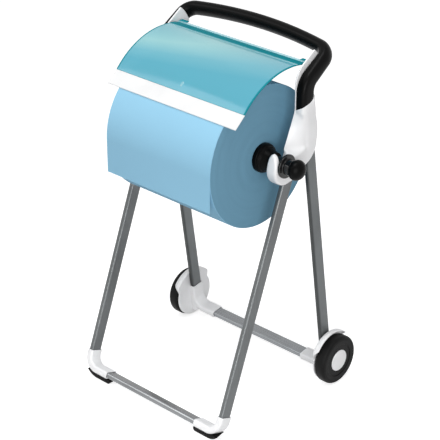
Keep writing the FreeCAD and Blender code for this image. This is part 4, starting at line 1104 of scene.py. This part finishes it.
def make_tail():
    """The free end: over the roll from under the tear bar, then hanging, with a soft wave."""
    half, gap, thick, hanging = 184.0, 0.4, 0.4, 93.0
    rows, columns = 90, 120
    radius = ROLL_RADIUS + gap
    top_angle = math.radians(118.0)
    arc = radius * (math.pi - top_angle)
    total = arc + hanging
    rings = []
    for row in range(rows + 1):
        way = total * row / rows
        hang = max(0.0, way - arc)
        angle = top_angle + min(way, arc) / radius
        out_y, out_z = math.cos(angle), math.sin(angle)
        front, back = [], []
        for x in np.linspace(-half, half, columns + 1):
            wave = (0.16 * math.sin(x * 0.021 + 0.7) + 0.1 * math.sin(x * 0.05)) * hang / hanging
            for line, reach in ((front, radius + wave + thick), (back, radius + wave)):
                line.append((x, ROLL_Y + out_y * reach, ROLL_Z + out_z * reach - hang))
        rings.append(front + back[::-1])
    piece = add_piece("paper_end_sheet", skin_of_slab(rings, columns), PAPER,
                      "frame", "wound_paper", "paper_tail", sharp=40)


make_roll()
make_tail()


# Studio

def shown_white(tree):
    """1 for the rays that see the background: from the camera, a reflection or through glass."""
    path = tree.nodes.new("ShaderNodeLightPath")
    value = path.outputs["Is Camera Ray"]
    for ray in ("Is Glossy Ray", "Is Transmission Ray"):
        value = maths(tree, "MAXIMUM", value, path.outputs[ray])
    return value


def make_floor():
    size, height = 12.0, -0.0005
    mesh = bpy.data.meshes.new("floor")
    mesh.from_pydata([(x * size, y * size, height) for x, y in ((-1, -1), (1, -1), (1, 1), (-1, 1))],
                     [], [(0, 1, 2, 3)])
    floor = new_object("floor", mesh)
    material, tree, shader = new_material("floor_look")
    shown = shown_white(tree)
    feed(tree, shader, {
        "Base Color": mixed(tree, (0.36, 0.36, 0.365, 1), (0.85, 0.85, 0.85, 1), shown),
        "Roughness": 0.9,
        "Specular IOR Level": 0.0,
        "Emission Color": (1, 1, 1, 1),
        "Emission Strength": maths(tree, "MULTIPLY", shown, 0.62),
    })
    mesh.materials.append(material)


def add_lamp(name, kind, place, target, power):
    light = bpy.data.lights.new(name, kind)
    light.energy = power
    lamp = new_object(name, light)
    lamp.location = place
    lamp.rotation_euler = (Vector(target) - Vector(place)).to_track_quat("-Z", "Y").to_euler()
    return light


def make_light():
    world = bpy.data.worlds.new("studio")
    bpy.context.scene.world = world
    world.use_nodes = True
    tree = world.node_tree
    colour = mixed(tree, (0.38, 0.38, 0.385, 1), (1.0, 1.0, 1.0, 1), shown_white(tree))
    feed(tree, tree.nodes["Background"], {"Color": colour, "Strength": 1.0})
    for name, place, target, size, power in (
            ("key", (-1.9, -2.1, 2.7), (0, 0, 0.5), (1.6, 1.6), 21),
            ("fill", (2.9, -2.3, 1.4), (0.1, 0.1, 0.4), (2.6, 2.2), 80),
            ("top", (0.2, -0.5, 3.4), (0, 0, 0.6), (1.4, 1.2), 38)):
        light = add_lamp(name, "AREA", place, target, power)
        light.shape = "RECTANGLE"
        light.size, light.size_y = size
    # a lamp whose cone holds only the foot of the stand
    light = add_lamp("low", "SPOT", (0.9, -2.9, 0.5), (0.03, 0, -0.05), 60)
    light.spot_size = math.radians(20.0)
    light.spot_blend = 0.35
    light.shadow_soft_size = 0.35


def make_camera():
    """The photograph's viewpoint; the focal length was found in pixels of its 440."""
    sensor, focal_pixels, photo_pixels = 36.0, 1556.0, 440.0
    camera = bpy.data.cameras.new("camera")
    camera.sensor_width = sensor
    camera.lens = sensor * focal_pixels / photo_pixels
    camera.clip_start, camera.clip_end = 0.05, 100
    piece = new_object("camera", camera)
    yaw, pitch, roll = math.radians(42.815), math.radians(-27.164), math.radians(0.04)
    piece.matrix_world = (
        Matrix.Translation((2.5506, -2.7292, 2.3944)) @ Matrix.Rotation(yaw, 4, "Z")
        @ Matrix.Rotation(QUARTER_TURN + pitch, 4, "X") @ Matrix.Rotation(roll, 4, "Z"))
    bpy.context.scene.camera = piece


make_floor()
make_light()
make_camera()
bpy.context.scene.view_settings.view_transform = "Standard"
